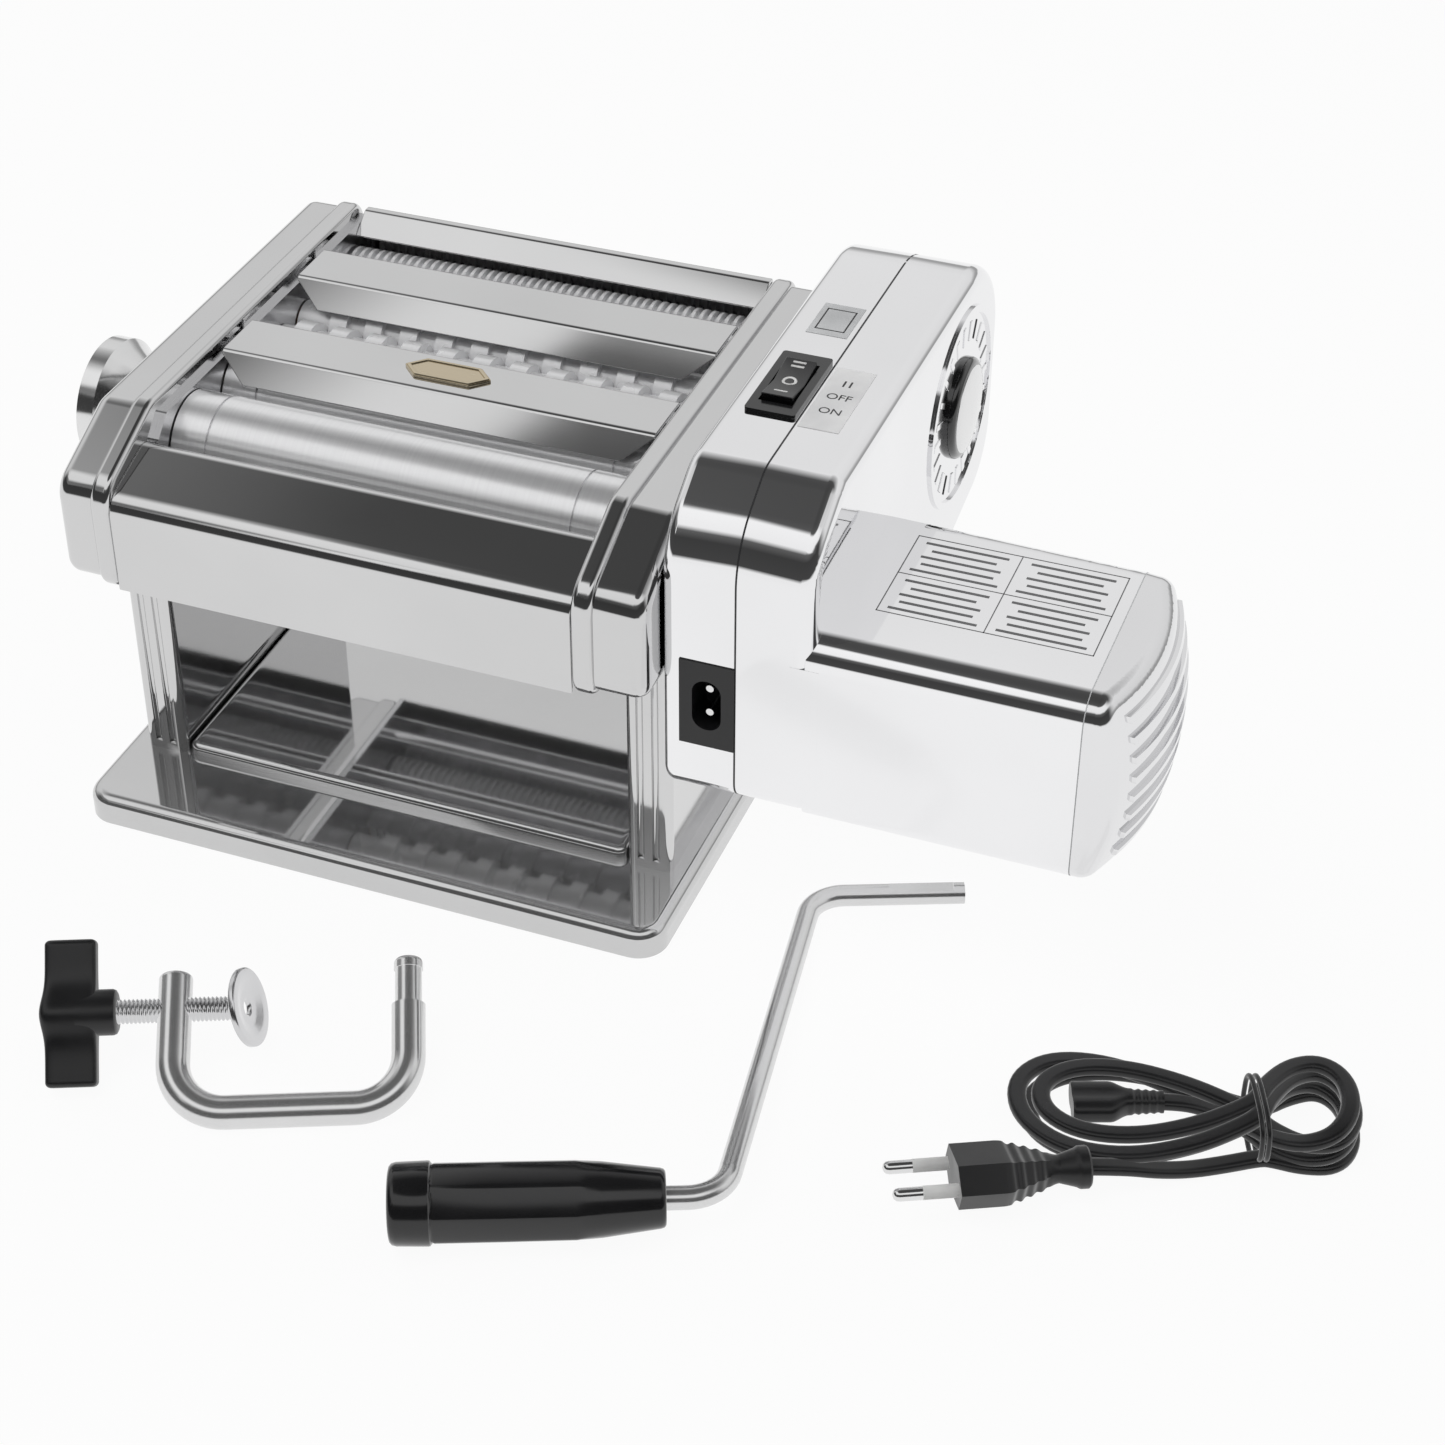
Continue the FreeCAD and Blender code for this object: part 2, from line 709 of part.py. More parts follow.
def make_sides():
    plate = prism_x(side_outline(), FRAME_X, RIM_X)
    plate = rounded_at_x(plate, RIM_X, RIM_EDGE)
    plate = rounded_at_x(plate, FRAME_X, RIM_EDGE)
    plate = plate.cut(prism_x(side_outline(), GEAR_ROOM_X, RIM_X, RIM_WALL))
    cuts = [rod_x(r + BUSH_WALL + SEAT_FIT, FRAME_X, GEAR_ROOM_X, y, z) for y, z, r in fixed_axes()]
    cuts += [rod_x(TIE_R + SEAT_FIT, FRAME_X, GEAR_ROOM_X, y, z) for y, z in tie_places()]
    cuts.append(block_slot(FRAME_X, GEAR_ROOM_X))
    plate = plate.cut(Part.makeCompound(cuts))
    save("right_side_plate", plate)
    save("left_side_plate", mirrored(plate))

    cheek_front = ROLL_NIP - ROLL_SLOT_FRONT + 2.5 * SHEET_T
    back = FRONT + BODY_DEPTH
    slope = (APRON_TOP_Z - ROLL_Z) / 2
    low = BODY_FLOOR + SHEET_T
    cheek = prism_x(
        [
            (cheek_front, low, 0),
            (back, low, 2.0),
            (back, CHEEK_TOP, 2.0),
            (cheek_front + slope, CHEEK_TOP, 2.0),
            (cheek_front, CHEEK_TOP - slope, 2.0),
        ],
        CHEEK_X,
        FRAME_X,
    )
    cuts = [rod_x(r + BUSH_WALL + SEAT_FIT, CHEEK_X, FRAME_X, y, z) for y, z, r in fixed_axes()]
    cuts += [rod_x(TIE_R + SEAT_FIT, CHEEK_X, FRAME_X, y, z) for y, z in tie_places()]
    cuts.append(block_slot(CHEEK_X, FRAME_X))
    cheek = cheek.cut(Part.makeCompound(cuts))
    save("dough_cheeks", Part.makeCompound([cheek, mirrored(cheek)]))

    cover = side_cover(COVER_X)
    right_cuts = [rod_x(r + FREE_GAP, GEAR_ROOM_X, COVER_X, y, z) for y, z, r in driven_axes()]
    right_cuts += [rod_x(DOCK_PIN_R + SEAT_FIT * 2, RIM_X, COVER_X, y, z) for y, z in dock_places()]
    save("right_side_cover", cover.cut(Part.makeCompound(right_cuts)))

    wall_x = -DIAL_COVER_X + COVER_WALL
    boss = rod_x(DIAL_SHAFT_R + BOSS_WALL, wall_x, boss_end(), DIAL_Y, DIAL_Z)
    nub = rod_x(INDEX_NUB_R, -DIAL_COVER_X - FREE_GAP, wall_x, DIAL_Y, DIAL_Z + INDEX_CIRCLE_R)
    bore = rod_x(DIAL_SHAFT_R + RUN_FIT, -DIAL_COVER_X - 1, boss_end(), DIAL_Y, DIAL_Z)
    left = joined([mirrored(side_cover(DIAL_COVER_X)), boss, nub])
    save("left_side_cover", left.cut(bore))


def side_cover(outer_x):
    cover = prism_x(side_outline(), RIM_X, outer_x, COVER_INSET)
    cover = rounded_at_x(cover, outer_x, COVER_EDGE)
    room = COVER_INSET + COVER_WALL + FREE_GAP
    return cover.cut(prism_x(side_outline(), RIM_X, outer_x - COVER_WALL, room))


def boss_end():
    return -(GEAR_ROOM_X + BLOCK_FLANGE + YOKE_T + 2 * FREE_GAP)


def dock_places():
    height = BODY_FLOOR + 3 * DOCK_PIN_R
    return [(FRONT_Y - ROLLER_R * 1.7, height), (REAR_Y + ROLLER_R - TIE_R, height + DOCK_PIN_R / 2)]


# Sheet top and front
def make_top():
    slot = ROLL_NIP - ROLL_SLOT_FRONT
    face = FRONT + SHEET_T / 2
    hem = (slot + SHEET_T * 1.25, APRON_TOP_Z - SHEET_BEND * 1.25)
    line = [(face, APRON_LOW_Z), (face, NOSE_Z - SHEET_T * 3), (slot, APRON_TOP_Z), hem]
    save("front_apron", bent_sheet(line, -FRAME_X, FRAME_X, [APRON_BEND, SHEET_BEND]))
    save("middle_plate", lipped_plate(ROLL_NIP + LIP_BEHIND_NIP, WIDE_NIP - WIDE_SLOT_FRONT))
    save("rear_plate", lipped_plate(WIDE_NIP + LIP_BEHIND_NIP, FINE_NIP - FINE_SLOT_FRONT))
    back = FRONT + BODY_DEPTH
    crest = back - SHEET_BEND
    lip = (crest - BACK_LIP_RUN, PLATE_TOP - BACK_LIP_DROP)
    line = [lip, (crest, PLATE_TOP), (back, PLATE_TOP), (back, APRON_LOW_Z)]
    save("back_plate", bent_sheet(line, -CHEEK_X, CHEEK_X, [SHEET_T + 0.8] * 2))

    middle_y = (ROLL_NIP + LIP_BEHIND_NIP + WIDE_NIP - WIDE_SLOT_FRONT) / 2
    half = BADGE_LENGTH / 2
    deep = BADGE_DEPTH / 2
    outline = [(-half, 0, 0), (-half + deep, -deep, 0), (half - deep, -deep, 0)]
    outline += [(half, 0, 0), (half - deep, deep, 0), (-half + deep, deep, 0)]
    badge = prism_z([(x, middle_y + y, r) for x, y, r in outline], PLATE_TOP, PLATE_TOP + BADGE_T)
    save("badge_plate", badge)


def lipped_plate(front, back):
    hem = (back, PLATE_TOP - LIP_DROP / 2)
    line = [(front - LIP_RUN, PLATE_TOP - LIP_DROP), (front, PLATE_TOP), (back, PLATE_TOP), hem]
    plate = bent_sheet(line, -CHEEK_X, CHEEK_X, [SHEET_T + 0.8] * 2)
    low = PLATE_TOP - LIP_DROP * 1.5
    slope = LIP_BEVEL * 1.5
    wedge = [(CHEEK_X, PLATE_TOP - SHEET_T, 0), (CHEEK_X, low, 0), (CHEEK_X - slope, low, 0)]
    corner = prism_y(wedge, front - 2 * LIP_RUN, front)
    return plate.cut(Part.makeCompound([corner, mirrored(corner)]))


# Rollers and cutters
def socketed(shaft, y, z):
    socket = rod_x(CRANK_R + SOCKET_FIT, SHAFT_END_X - SOCKET_DEPTH, SHAFT_END_X, y, z)
    flat_z = z + CRANK_R - CRANK_FLAT
    key = box(SHAFT_END_X - SOCKET_DEPTH, SHAFT_END_X, y - CRANK_R, y + CRANK_R, flat_z, z + CRANK_R + 1)
    return shaft.cut(socket.cut(key))


def roller_body(y):
    inner = ROLLER_R - ROLL_GROOVE
    x0 = ROLL_GROOVE_X
    x1 = ROLL_GROOVE_X + ROLL_GROOVE
    groove = [(x0, ROLLER_R), (x0, inner), (x1, inner), (x1, ROLLER_R)]
    right = groove + [(ROLL_HALF, ROLLER_R), (ROLL_HALF, 0)]
    left = [(-x, r) for x, r in right[::-1]]
    return spun_x(left + right, y, ROLL_Z)


def make_rollers():
    gear_end = ROLLER_GEAR_X + ROLLER_GEAR_T
    phase = 0.0
    body = roller_body(FRONT_Y)
    left_end = -(GEAR_ROOM_X + FREE_GAP)
    shaft = rod_x(ROLLER_SHAFT_R, left_end, SHAFT_END_X, FRONT_Y, ROLL_Z)
    save("front_roller", socketed(joined([body, shaft]), FRONT_Y, ROLL_Z))
    teeth = ROLLER_GEAR_TEETH
    span = (ROLLER_GEAR_X, gear_end)
    front_gear = gear(teeth, ROLLER_GEAR_MODULE, phase, FRONT_Y, ROLL_Z, *span)
    seat = rod_x(ROLLER_SHAFT_R + SEAT_FIT, ROLLER_GEAR_X, gear_end, FRONT_Y, ROLL_Z)
    save("front_roller_gear", front_gear.cut(seat))

    body = roller_body(REAR_Y)
    left_end = -(GEAR_ROOM_X + BLOCK_FLANGE - FREE_GAP)
    shaft = rod_x(ROLLER_SHAFT_R, left_end, gear_end, REAR_Y, ROLL_Z)
    save("rear_roller", joined([body, shaft]))
    rear_phase = meshed_phase(phase, teeth, 0.0, teeth)
    rear_gear = gear(teeth, ROLLER_GEAR_MODULE, rear_phase, REAR_Y, ROLL_Z, *span)
    seat = rod_x(ROLLER_SHAFT_R + SEAT_FIT, ROLLER_GEAR_X, gear_end, REAR_Y, ROLL_Z)
    save("rear_roller_gear", rear_gear.cut(seat))


def ring_outline(strip, outer, core, shift):
    # Half section of a cutter: square ribs one strip wide, one strip apart.
    rib = strip - CUT_CLEAR
    points = [(-ROLL_HALF, 0), (-ROLL_HALF, core)]
    count = int(ROLL_HALF / strip) + 1
    for k in range(-count, count + 1):
        x0 = (2 * k + shift) * strip - rib / 2
        x1 = x0 + rib
        if x0 > -ROLL_HALF and x1 < ROLL_HALF:
            points += [(x0, core), (x0, outer), (x1, outer), (x1, core)]
    return points + [(ROLL_HALF, core), (ROLL_HALF, 0)]


def cutter(strip, outer, bite, shift, y, driven, teeth, phase):
    core = outer - bite - FREE_GAP
    ribs = spun_x(ring_outline(strip, outer, core, shift), y, CUTTER_Z)
    left_end = -(GEAR_ROOM_X + FREE_GAP)
    wheel_end = CUTTER_GEAR_X + CUTTER_GEAR_T
    right_end = SHAFT_END_X if driven else wheel_end
    shaft = rod_x(CUTTER_SHAFT_R, left_end, right_end, y, CUTTER_Z)
    wheel = gear(teeth, CUTTER_GEAR_MODULE, phase, y, CUTTER_Z, CUTTER_GEAR_X, wheel_end)
    whole = joined([ribs, shaft, wheel])
    return socketed(whole, y, CUTTER_Z) if driven else whole


def make_cutters():
    met = meshed_phase(0.0, WIDE_GEAR_TEETH, 0.0, WIDE_GEAR_TEETH)
    front = cutter(WIDE_STRIP, WIDE_R, WIDE_BITE, 0, WIDE_FRONT_Y, False, WIDE_GEAR_TEETH, 0.0)
    rear = cutter(WIDE_STRIP, WIDE_R, WIDE_BITE, 1, WIDE_REAR_Y, True, WIDE_GEAR_TEETH, met)
    save("wide_cutter_front", front)
    save("wide_cutter_rear", rear)
    met = meshed_phase(0.0, FINE_GEAR_TEETH, 0.0, FINE_GEAR_TEETH)
    front = cutter(FINE_STRIP, FINE_R, FINE_BITE, 0, FINE_FRONT_Y, True, FINE_GEAR_TEETH, 0.0)
    rear = cutter(FINE_STRIP, FINE_R, FINE_BITE, 1, FINE_REAR_Y, False, FINE_GEAR_TEETH, met)
    save("fine_cutter_front", front)
    save("fine_cutter_rear", rear)

    bushes = []
    for y, z, r in fixed_axes():
        bush = rod_x(r + BUSH_WALL, CHEEK_X, GEAR_ROOM_X, y, z)
        bush = bush.cut(rod_x(r + RUN_FIT, CHEEK_X, GEAR_ROOM_X, y, z))
        bushes += [bush, mirrored(bush)]
    save("shaft_bushes", Part.makeCompound(bushes))


def comb(strip, outer, bite, shift, y, side):
    # A stripper: a strip under the cutter with a tooth standing between each two ribs.
    core = outer - bite - FREE_GAP
    near = core + FREE_GAP
    strip_top = CUTTER_Z - math.sqrt(outer * outer - near * near) - FREE_GAP
    half = (strip + CUT_CLEAR) / 2 - CUT_CLEAR
    points = [(-CHEEK_X, COMB_LOW, 0), (CHEEK_X, COMB_LOW, 0), (CHEEK_X, strip_top, 0)]
    count = int(ROLL_HALF / strip) + 1
    for k in range(count, -count - 1, -1):
        x = (2 * k + 1 + shift) * strip
        if abs(x) + strip * 1.5 < ROLL_HALF:
            points += [(x + half, strip_top, 0), (x + half, CUTTER_Z, 0)]
            points += [(x - half, CUTTER_Z, 0), (x - half, strip_top, 0)]
    points.append((-CHEEK_X, strip_top, 0))
    inner = y + side * near
    return prism_y(points, min(inner, inner + side * COMB_T), max(inner, inner + side * COMB_T))


def make_strippers():
    combs = [
        comb(WIDE_STRIP, WIDE_R, WIDE_BITE, 0, WIDE_FRONT_Y, -1),
        comb(WIDE_STRIP, WIDE_R, WIDE_BITE, 1, WIDE_REAR_Y, 1),
        comb(FINE_STRIP, FINE_R, FINE_BITE, 0, FINE_FRONT_Y, -1),
        comb(FINE_STRIP, FINE_R, FINE_BITE, 1, FINE_REAR_Y, 1),
    ]
    save("cutter_combs", Part.makeCompound(combs))
    top = ROLL_Z - ROLLER_R - FREE_GAP
    bars = []
    for y in (FRONT_Y, REAR_Y):
        half = SCRAPER_DEPTH / 2
        bars.append(box(-CHEEK_X, CHEEK_X, y - half, y + half, top - SCRAPER_T, top))
    save("roller_scrapers", Part.makeCompound(bars))

    rods = []
    for y, z in tie_places():
        reach = GEAR_ROOM_X + NUT_T
        rod = rod_x(TIE_R, -reach, reach, y, z)
        nut = rod_x(TIE_NUT_R, GEAR_ROOM_X, reach, y, z)
        rods.append(joined([rod, nut, mirrored(nut)]))
    save("tie_rods", Part.makeCompound(rods))


# Thickness dial
def make_dial():
    half_y = BLOCK_DEPTH / 2
    half_z = BLOCK_HEIGHT / 2
    flange_x = GEAR_ROOM_X + SEAT_FIT
    outer_x = flange_x + BLOCK_FLANGE
    block_x = CHEEK_X + SEAT_FIT
    block = box(block_x, flange_x, REAR_Y - half_y, REAR_Y + half_y, ROLL_Z - half_z, ROLL_Z + half_z)
    wide_y = half_y + BLOCK_LIP
    wide_z = half_z + BLOCK_LIP
    flange = box(flange_x, outer_x, REAR_Y - wide_y, REAR_Y + wide_y, ROLL_Z - wide_z, ROLL_Z + wide_z)
    right = joined([block, flange]).cut(rod_x(ROLLER_SHAFT_R + RUN_FIT, CHEEK_X, outer_x, REAR_Y, ROLL_Z))
    slot_y = ECCENTRIC_R + YOKE_PLAY
    slot_z = ECCENTRIC_R + THROW + YOKE_PLAY
    pin_y = DIAL_Y + THROW
    slot = box(outer_x, outer_x + YOKE_T, pin_y - slot_y, pin_y + slot_y, DIAL_Z - slot_z, DIAL_Z + slot_z)
    yoke_low = DIAL_Z - slot_z - BLOCK_LIP
    yoke_y = slot_y + BLOCK_LIP
    yoke = box(outer_x, outer_x + YOKE_T, pin_y - yoke_y, pin_y + yoke_y, yoke_low, ROLL_Z + half_z)
    left = mirrored(joined([right, yoke.cut(slot)]))
    save("sliding_bearings", Part.makeCompound([right, left]))

    eccentric_x0 = -(outer_x + YOKE_T)
    eccentric_x1 = -(outer_x + FREE_GAP)
    neck_x = -DIAL_COVER_X - FREE_GAP * 2
    floor_x = neck_x - KNOB_FLOOR
    rim_x = neck_x - KNOB_NECK - KNOB_FLARE
    face_x = rim_x - KNOB_RIM
    washer_x = face_x + WASHER_T + KNOB_DOME
    shaft = rod_x(DIAL_SHAFT_R, washer_x, eccentric_x0, DIAL_Y, DIAL_Z)
    eccentric = rod_x(ECCENTRIC_R, eccentric_x0, eccentric_x1, DIAL_Y + THROW, DIAL_Z)
    washer = rod_x(WASHER_R, washer_x, washer_x + WASHER_T, DIAL_Y, DIAL_Z)
    save("dial_shaft", joined([shaft, eccentric, washer]))

    cup_r = WASHER_R + FREE_GAP
    cap_x = washer_x - FREE_GAP
    outline = [
        (neck_x, DIAL_SHAFT_R + RUN_FIT),
        (neck_x, KNOB_NECK_R),
        (neck_x - KNOB_NECK, KNOB_NECK_R),
        (neck_x - KNOB_NECK - KNOB_FLARE * 0.6, KNOB_R - 4.0),
        (rim_x, KNOB_R),
        (face_x, KNOB_R),
        (face_x - KNOB_DOME, KNOB_R - 6.0),
        (face_x - KNOB_DOME, 0),
        (cap_x, 0),
        (cap_x, cup_r),
        (floor_x, cup_r),
        (floor_x, DIAL_SHAFT_R + RUN_FIT),
    ]
    knob = spun_x(outline, DIAL_Y, DIAL_Z)
    dimples = []
    for k in range(DIAL_STEPS + 1):
        angle = math.radians(90 - k * DIAL_STEP_DEG)
        y = DIAL_Y + INDEX_CIRCLE_R * math.cos(angle)
        z = DIAL_Z + INDEX_CIRCLE_R * math.sin(angle)
        dimples.append(rod_x(INDEX_NUB_R + SEAT_FIT, neck_x - INDEX_DIMPLE, neck_x, y, z))
    save("thickness_knob", knob.cut(Part.makeCompound(dimples)))

    free = (floor_x - washer_x - WASHER_T) - 2 * SPRING_WIRE - 2 * SEAT_FIT
    start = V(washer_x + WASHER_T + SPRING_WIRE + SEAT_FIT, DIAL_Y, DIAL_Z)
    save("knob_spring", coil(free, start))


def coil(length, start):
    # A wound wire along X with a six-sided section, made of flat triangles.
    steps = int(SPRING_TURNS * SPRING_STEPS)
    rings = []
    for i in range(steps + 1):
        turn = 2 * math.pi * i / SPRING_STEPS
        ring = []
        for k in range(6):
            angle = math.pi * k / 3
            radius = SPRING_R + SPRING_WIRE * math.cos(angle)
            along = length * i / steps + SPRING_WIRE * math.sin(angle)
            ring.append(start + V(along, radius * math.cos(turn), radius * math.sin(turn)))
        rings.append(ring)
    faces = []
    for i in range(steps):
        for k in range(6):
            a = rings[i][k]
            b = rings[i][(k + 1) % 6]
            c = rings[i + 1][(k + 1) % 6]
            d = rings[i + 1][k]
            faces += [triangle(a, b, c), triangle(a, c, d)]
    for ring in (rings[0], rings[-1]):
        faces += [triangle(ring[0], ring[k], ring[k + 1]) for k in range(1, 5)]
    return Part.makeSolid(Part.makeShell(faces))


def triangle(a, b, c):
    return Part.Face(Part.makePolygon([a, b, c, a]))


# Motor unit
def slab_outline():
    y0 = MOTOR_FRONT_Y
    nose_z = MOTOR_TOP - CASE_NOSE_RUN * 0.6
    heel = FRONT + MOTOR_HEEL
    return [
        (y0, MOTOR_LOW, 8.0),
        (heel, MOTOR_LOW, 20.0),
        (SLAB_BACK_Y, (MOTOR_LOW + MOTOR_TOP) / 2 - ROUND_END_R, 24.0),
        (SLAB_BACK_Y, MOTOR_TOP, ROUND_END_R),
        (y0 + CASE_NOSE_RUN, MOTOR_TOP, CASE_NOSE_R),
        (y0, nose_z, CASE_NOSE_FALL_R),
    ]


def box_wire(x, inset, grow):
    # Outline of the motor box at one x: its back draws in towards the end.
    y0 = MOTOR_FRONT_Y + inset
    y1 = MOTOR_FRONT_Y + BOX_DEPTH - inset - grow
    z0 = MOTOR_LOW + inset
    z1 = BOX_TOP - inset
    foot = BOX_FOOT_CORNER - inset
    head = BOX_CORNER - inset
    return rounded_wire([(y0, z0, foot), (y1, z0, foot), (y1, z1, head), (y0, z1, head)], on_x(x))


def half_space(x0, x1):
    far = 400.0
    return box(x0, x1, -far, far, -far, far)


def case_screw_places():
    return [
        (MOTOR_FRONT_Y + CASE_SCREW_INSET, MOTOR_LOW + CASE_SCREW_INSET),
        (MOTOR_FRONT_Y + CASE_NOSE_RUN, MOTOR_TOP - CASE_SCREW_DROP),
        (SLAB_BACK_Y - CASE_SCREW_BACK, MOTOR_TOP - CASE_SCREW_BACK_DROP),
        (FRONT + MOTOR_HEEL - CASE_SCREW_INSET / 3, MOTOR_LOW + CASE_SCREW_INSET * 5 / 6),
    ]


def train_axes():
    # Armature, first idler, second idler and output: each pair one pitch-circle sum apart.
    first = (PINION_TEETH + FIRST_LARGE_TEETH) * FIRST_MODULE / 2
    second = (FIRST_SMALL_TEETH + SECOND_LARGE_TEETH) * SECOND_MODULE / 2
    third = (SECOND_SMALL_TEETH + OUTPUT_TEETH) * THIRD_MODULE / 2
    a = V(ARMATURE_Y, MOTOR_AXIS_Z, 0)
    d = V(FINE_FRONT_Y, CUTTER_Z, 0)
    turn = math.radians(TRAIN_ANGLE_DEG)
    b = a + V(math.cos(turn), math.sin(turn), 0) * first
    line = d - b
    span = line.Length
    along = (span * span + second * second - third * third) / (2 * span)
    aside = math.sqrt(second * second - along * along)
    line.normalize()
    c = b + line * along + V(line.y, -line.x, 0) * aside
    return a, b, c, d


def direction(p, q):
    return math.atan2(q.y - p.y, q.x - p.x)


def make_motor_cases():
    slab = prism_x(slab_outline(), MOTOR_X, SLAB_X)
    slab = rounded_at_x(slab, SLAB_X, CASE_EDGE)
    slab = rounded_at_x(slab, MOTOR_X, CASE_INNER_EDGE)
    room = prism_x(slab_outline(), MOTOR_X + CASE_WALL, SLAB_X - CASE_WALL, CASE_WALL + 2 * FREE_GAP)
    inside = (MOTOR_X + CASE_WALL, SLAB_X - CASE_WALL)
    bosses = [rod_x(SCREW_HEAD_R + CASE_WALL, *inside, y, z) for y, z in case_screw_places()]
    a, b, c, d = train_axes()

    left = slab.common(half_space(MOTOR_X, PARTING_X)).cut(room)
    hub_r = SPINDLE_R + BUSH_WALL + CASE_WALL
    hub_end = MOTOR_X + CASE_WALL + BEARING_LENGTH / 2
    left_parts = [left]
    left_parts += [boss.common(half_space(MOTOR_X, PARTING_X)) for boss in bosses]
    left_parts.append(rod_x(hub_r, MOTOR_X + CASE_WALL, hub_end, d.x, d.y))
    left_parts += [rod_x(IDLER_PIN_R + CASE_WALL, MOTOR_X + CASE_WALL, hub_end, p.x, p.y) for p in (b, c)]
    left_parts += [rod_x(IDLER_PIN_R, *inside, p.x, p.y) for p in (b, c)]
    pin_span = (MOTOR_X - DOCK_PIN_REACH, MOTOR_X + CASE_WALL)
    left_parts += [rod_x(DOCK_PIN_R, *pin_span, y, z) for y, z in dock_places()]
    left = joined(left_parts)
    cuts = [rod_x(SPINDLE_R + BUSH_WALL + SEAT_FIT, MOTOR_X, hub_end, d.x, d.y)]
    for y, z in case_screw_places():
        cuts.append(rod_x(SCREW_R + SEAT_FIT, MOTOR_X, PARTING_X, y, z))
        cuts.append(rod_x(SCREW_HEAD_R + SEAT_FIT, MOTOR_X, MOTOR_X + SCREW_HEAD_T, y, z))
    cuts += [switch_hole(), inlet_hole()]
    save("gear_case", left.cut(Part.makeCompound(cuts)))

    right = slab.common(half_space(PARTING_X, SLAB_X)).cut(room)
    shell = loft(box_wire(SLAB_X - CASE_WALL, 0, 0), box_wire(SEAM_X, 0, BOX_DRAFT))
    core = loft(box_wire(SLAB_X, CASE_WALL, 0), box_wire(SEAM_X, CASE_WALL, BOX_DRAFT))
    bearing_x = SLAB_X - CASE_WALL
    step_x = SLAB_X + BOX_STEP_WIDTH
    step_y = MOTOR_FRONT_Y + BOX_CORNER * 2
    step = box(SLAB_X, step_x, step_y, MOTOR_FRONT_Y + BOX_DEPTH, BOX_TOP - BOX_STEP, BOX_TOP + 1)
    parts = [right, shell.cut(core).cut(step)]
    parts += [boss.common(half_space(PARTING_X, SLAB_X)) for boss in bosses]
    seat = (bearing_x - BEARING_LENGTH / 2, SLAB_X + BEARING_LENGTH / 2)
    pocket = (bearing_x - BEARING_LENGTH / 2, bearing_x)
    parts.append(rod_x(BEARING_R + CASE_WALL, *seat, a.x, a.y))
    parts += [rod_x(IDLER_PIN_R + CASE_WALL, *pocket, p.x, p.y) for p in (b, c)]
    for y, z in stator_posts():
        parts.append(rod_x(CASE_WALL * 1.5, SLAB_X, SLAB_X + STATOR_STAND, y, z))
    ring = rod_x(EMBLEM_R, SLAB_X - CASE_WALL / 2, SLAB_X + EMBLEM_RISE, EMBLEM_Y, EMBLEM_Z)
    parts.append(ring.cut(rod_x(EMBLEM_R - CASE_WALL, SLAB_X, SLAB_X + EMBLEM_RISE, EMBLEM_Y, EMBLEM_Z)))
    right = joined(parts)
    cuts = [rod_x(BEARING_R + SEAT_FIT, *seat, a.x, a.y)]
    cuts += [rod_x(IDLER_PIN_R + SEAT_FIT, *pocket, p.x, p.y) for p in (b, c)]
    cuts += [rod_x(SCREW_R, PARTING_X, PARTING_X + BEARING_LENGTH, y, z) for y, z in case_screw_places()]
    save("motor_case", right.cut(Part.makeCompound(cuts)))

    badge = rod_x(BADGE_DISC_R, SLAB_X, SLAB_X + BADGE_DISC_RISE, EMBLEM_Y, EMBLEM_Z)
    badge = rounded_at_x(badge, SLAB_X + BADGE_DISC_RISE, BADGE_DISC_RISE * 0.8)
    save("round_badge", badge)

    screws = []
    for y, z in case_screw_places():
        shank = rod_x(SCREW_R, MOTOR_X + SCREW_HEAD_T / 2, PARTING_X + BEARING_LENGTH, y, z)
        head = rod_x(SCREW_HEAD_R, MOTOR_X, MOTOR_X + SCREW_HEAD_T, y, z)
        screws.append(joined([shank, head]))
    save("case_screws", Part.makeCompound(screws))


def stator_posts():
    side = STATOR_HALF - CASE_WALL * 2
    up = STATOR_HEIGHT / 2 - CASE_WALL * 2
    return [(ARMATURE_Y + i * side, MOTOR_AXIS_Z + j * up) for i in (-1, 1) for j in (-1, 1)]


def crown(radius):
    middle_z = (MOTOR_LOW + BOX_TOP) / 2
    return Part.makeSphere(radius, V(SEAM_X + CAP_LENGTH - CAP_CROWN_R, BOX_MID_Y, middle_z))


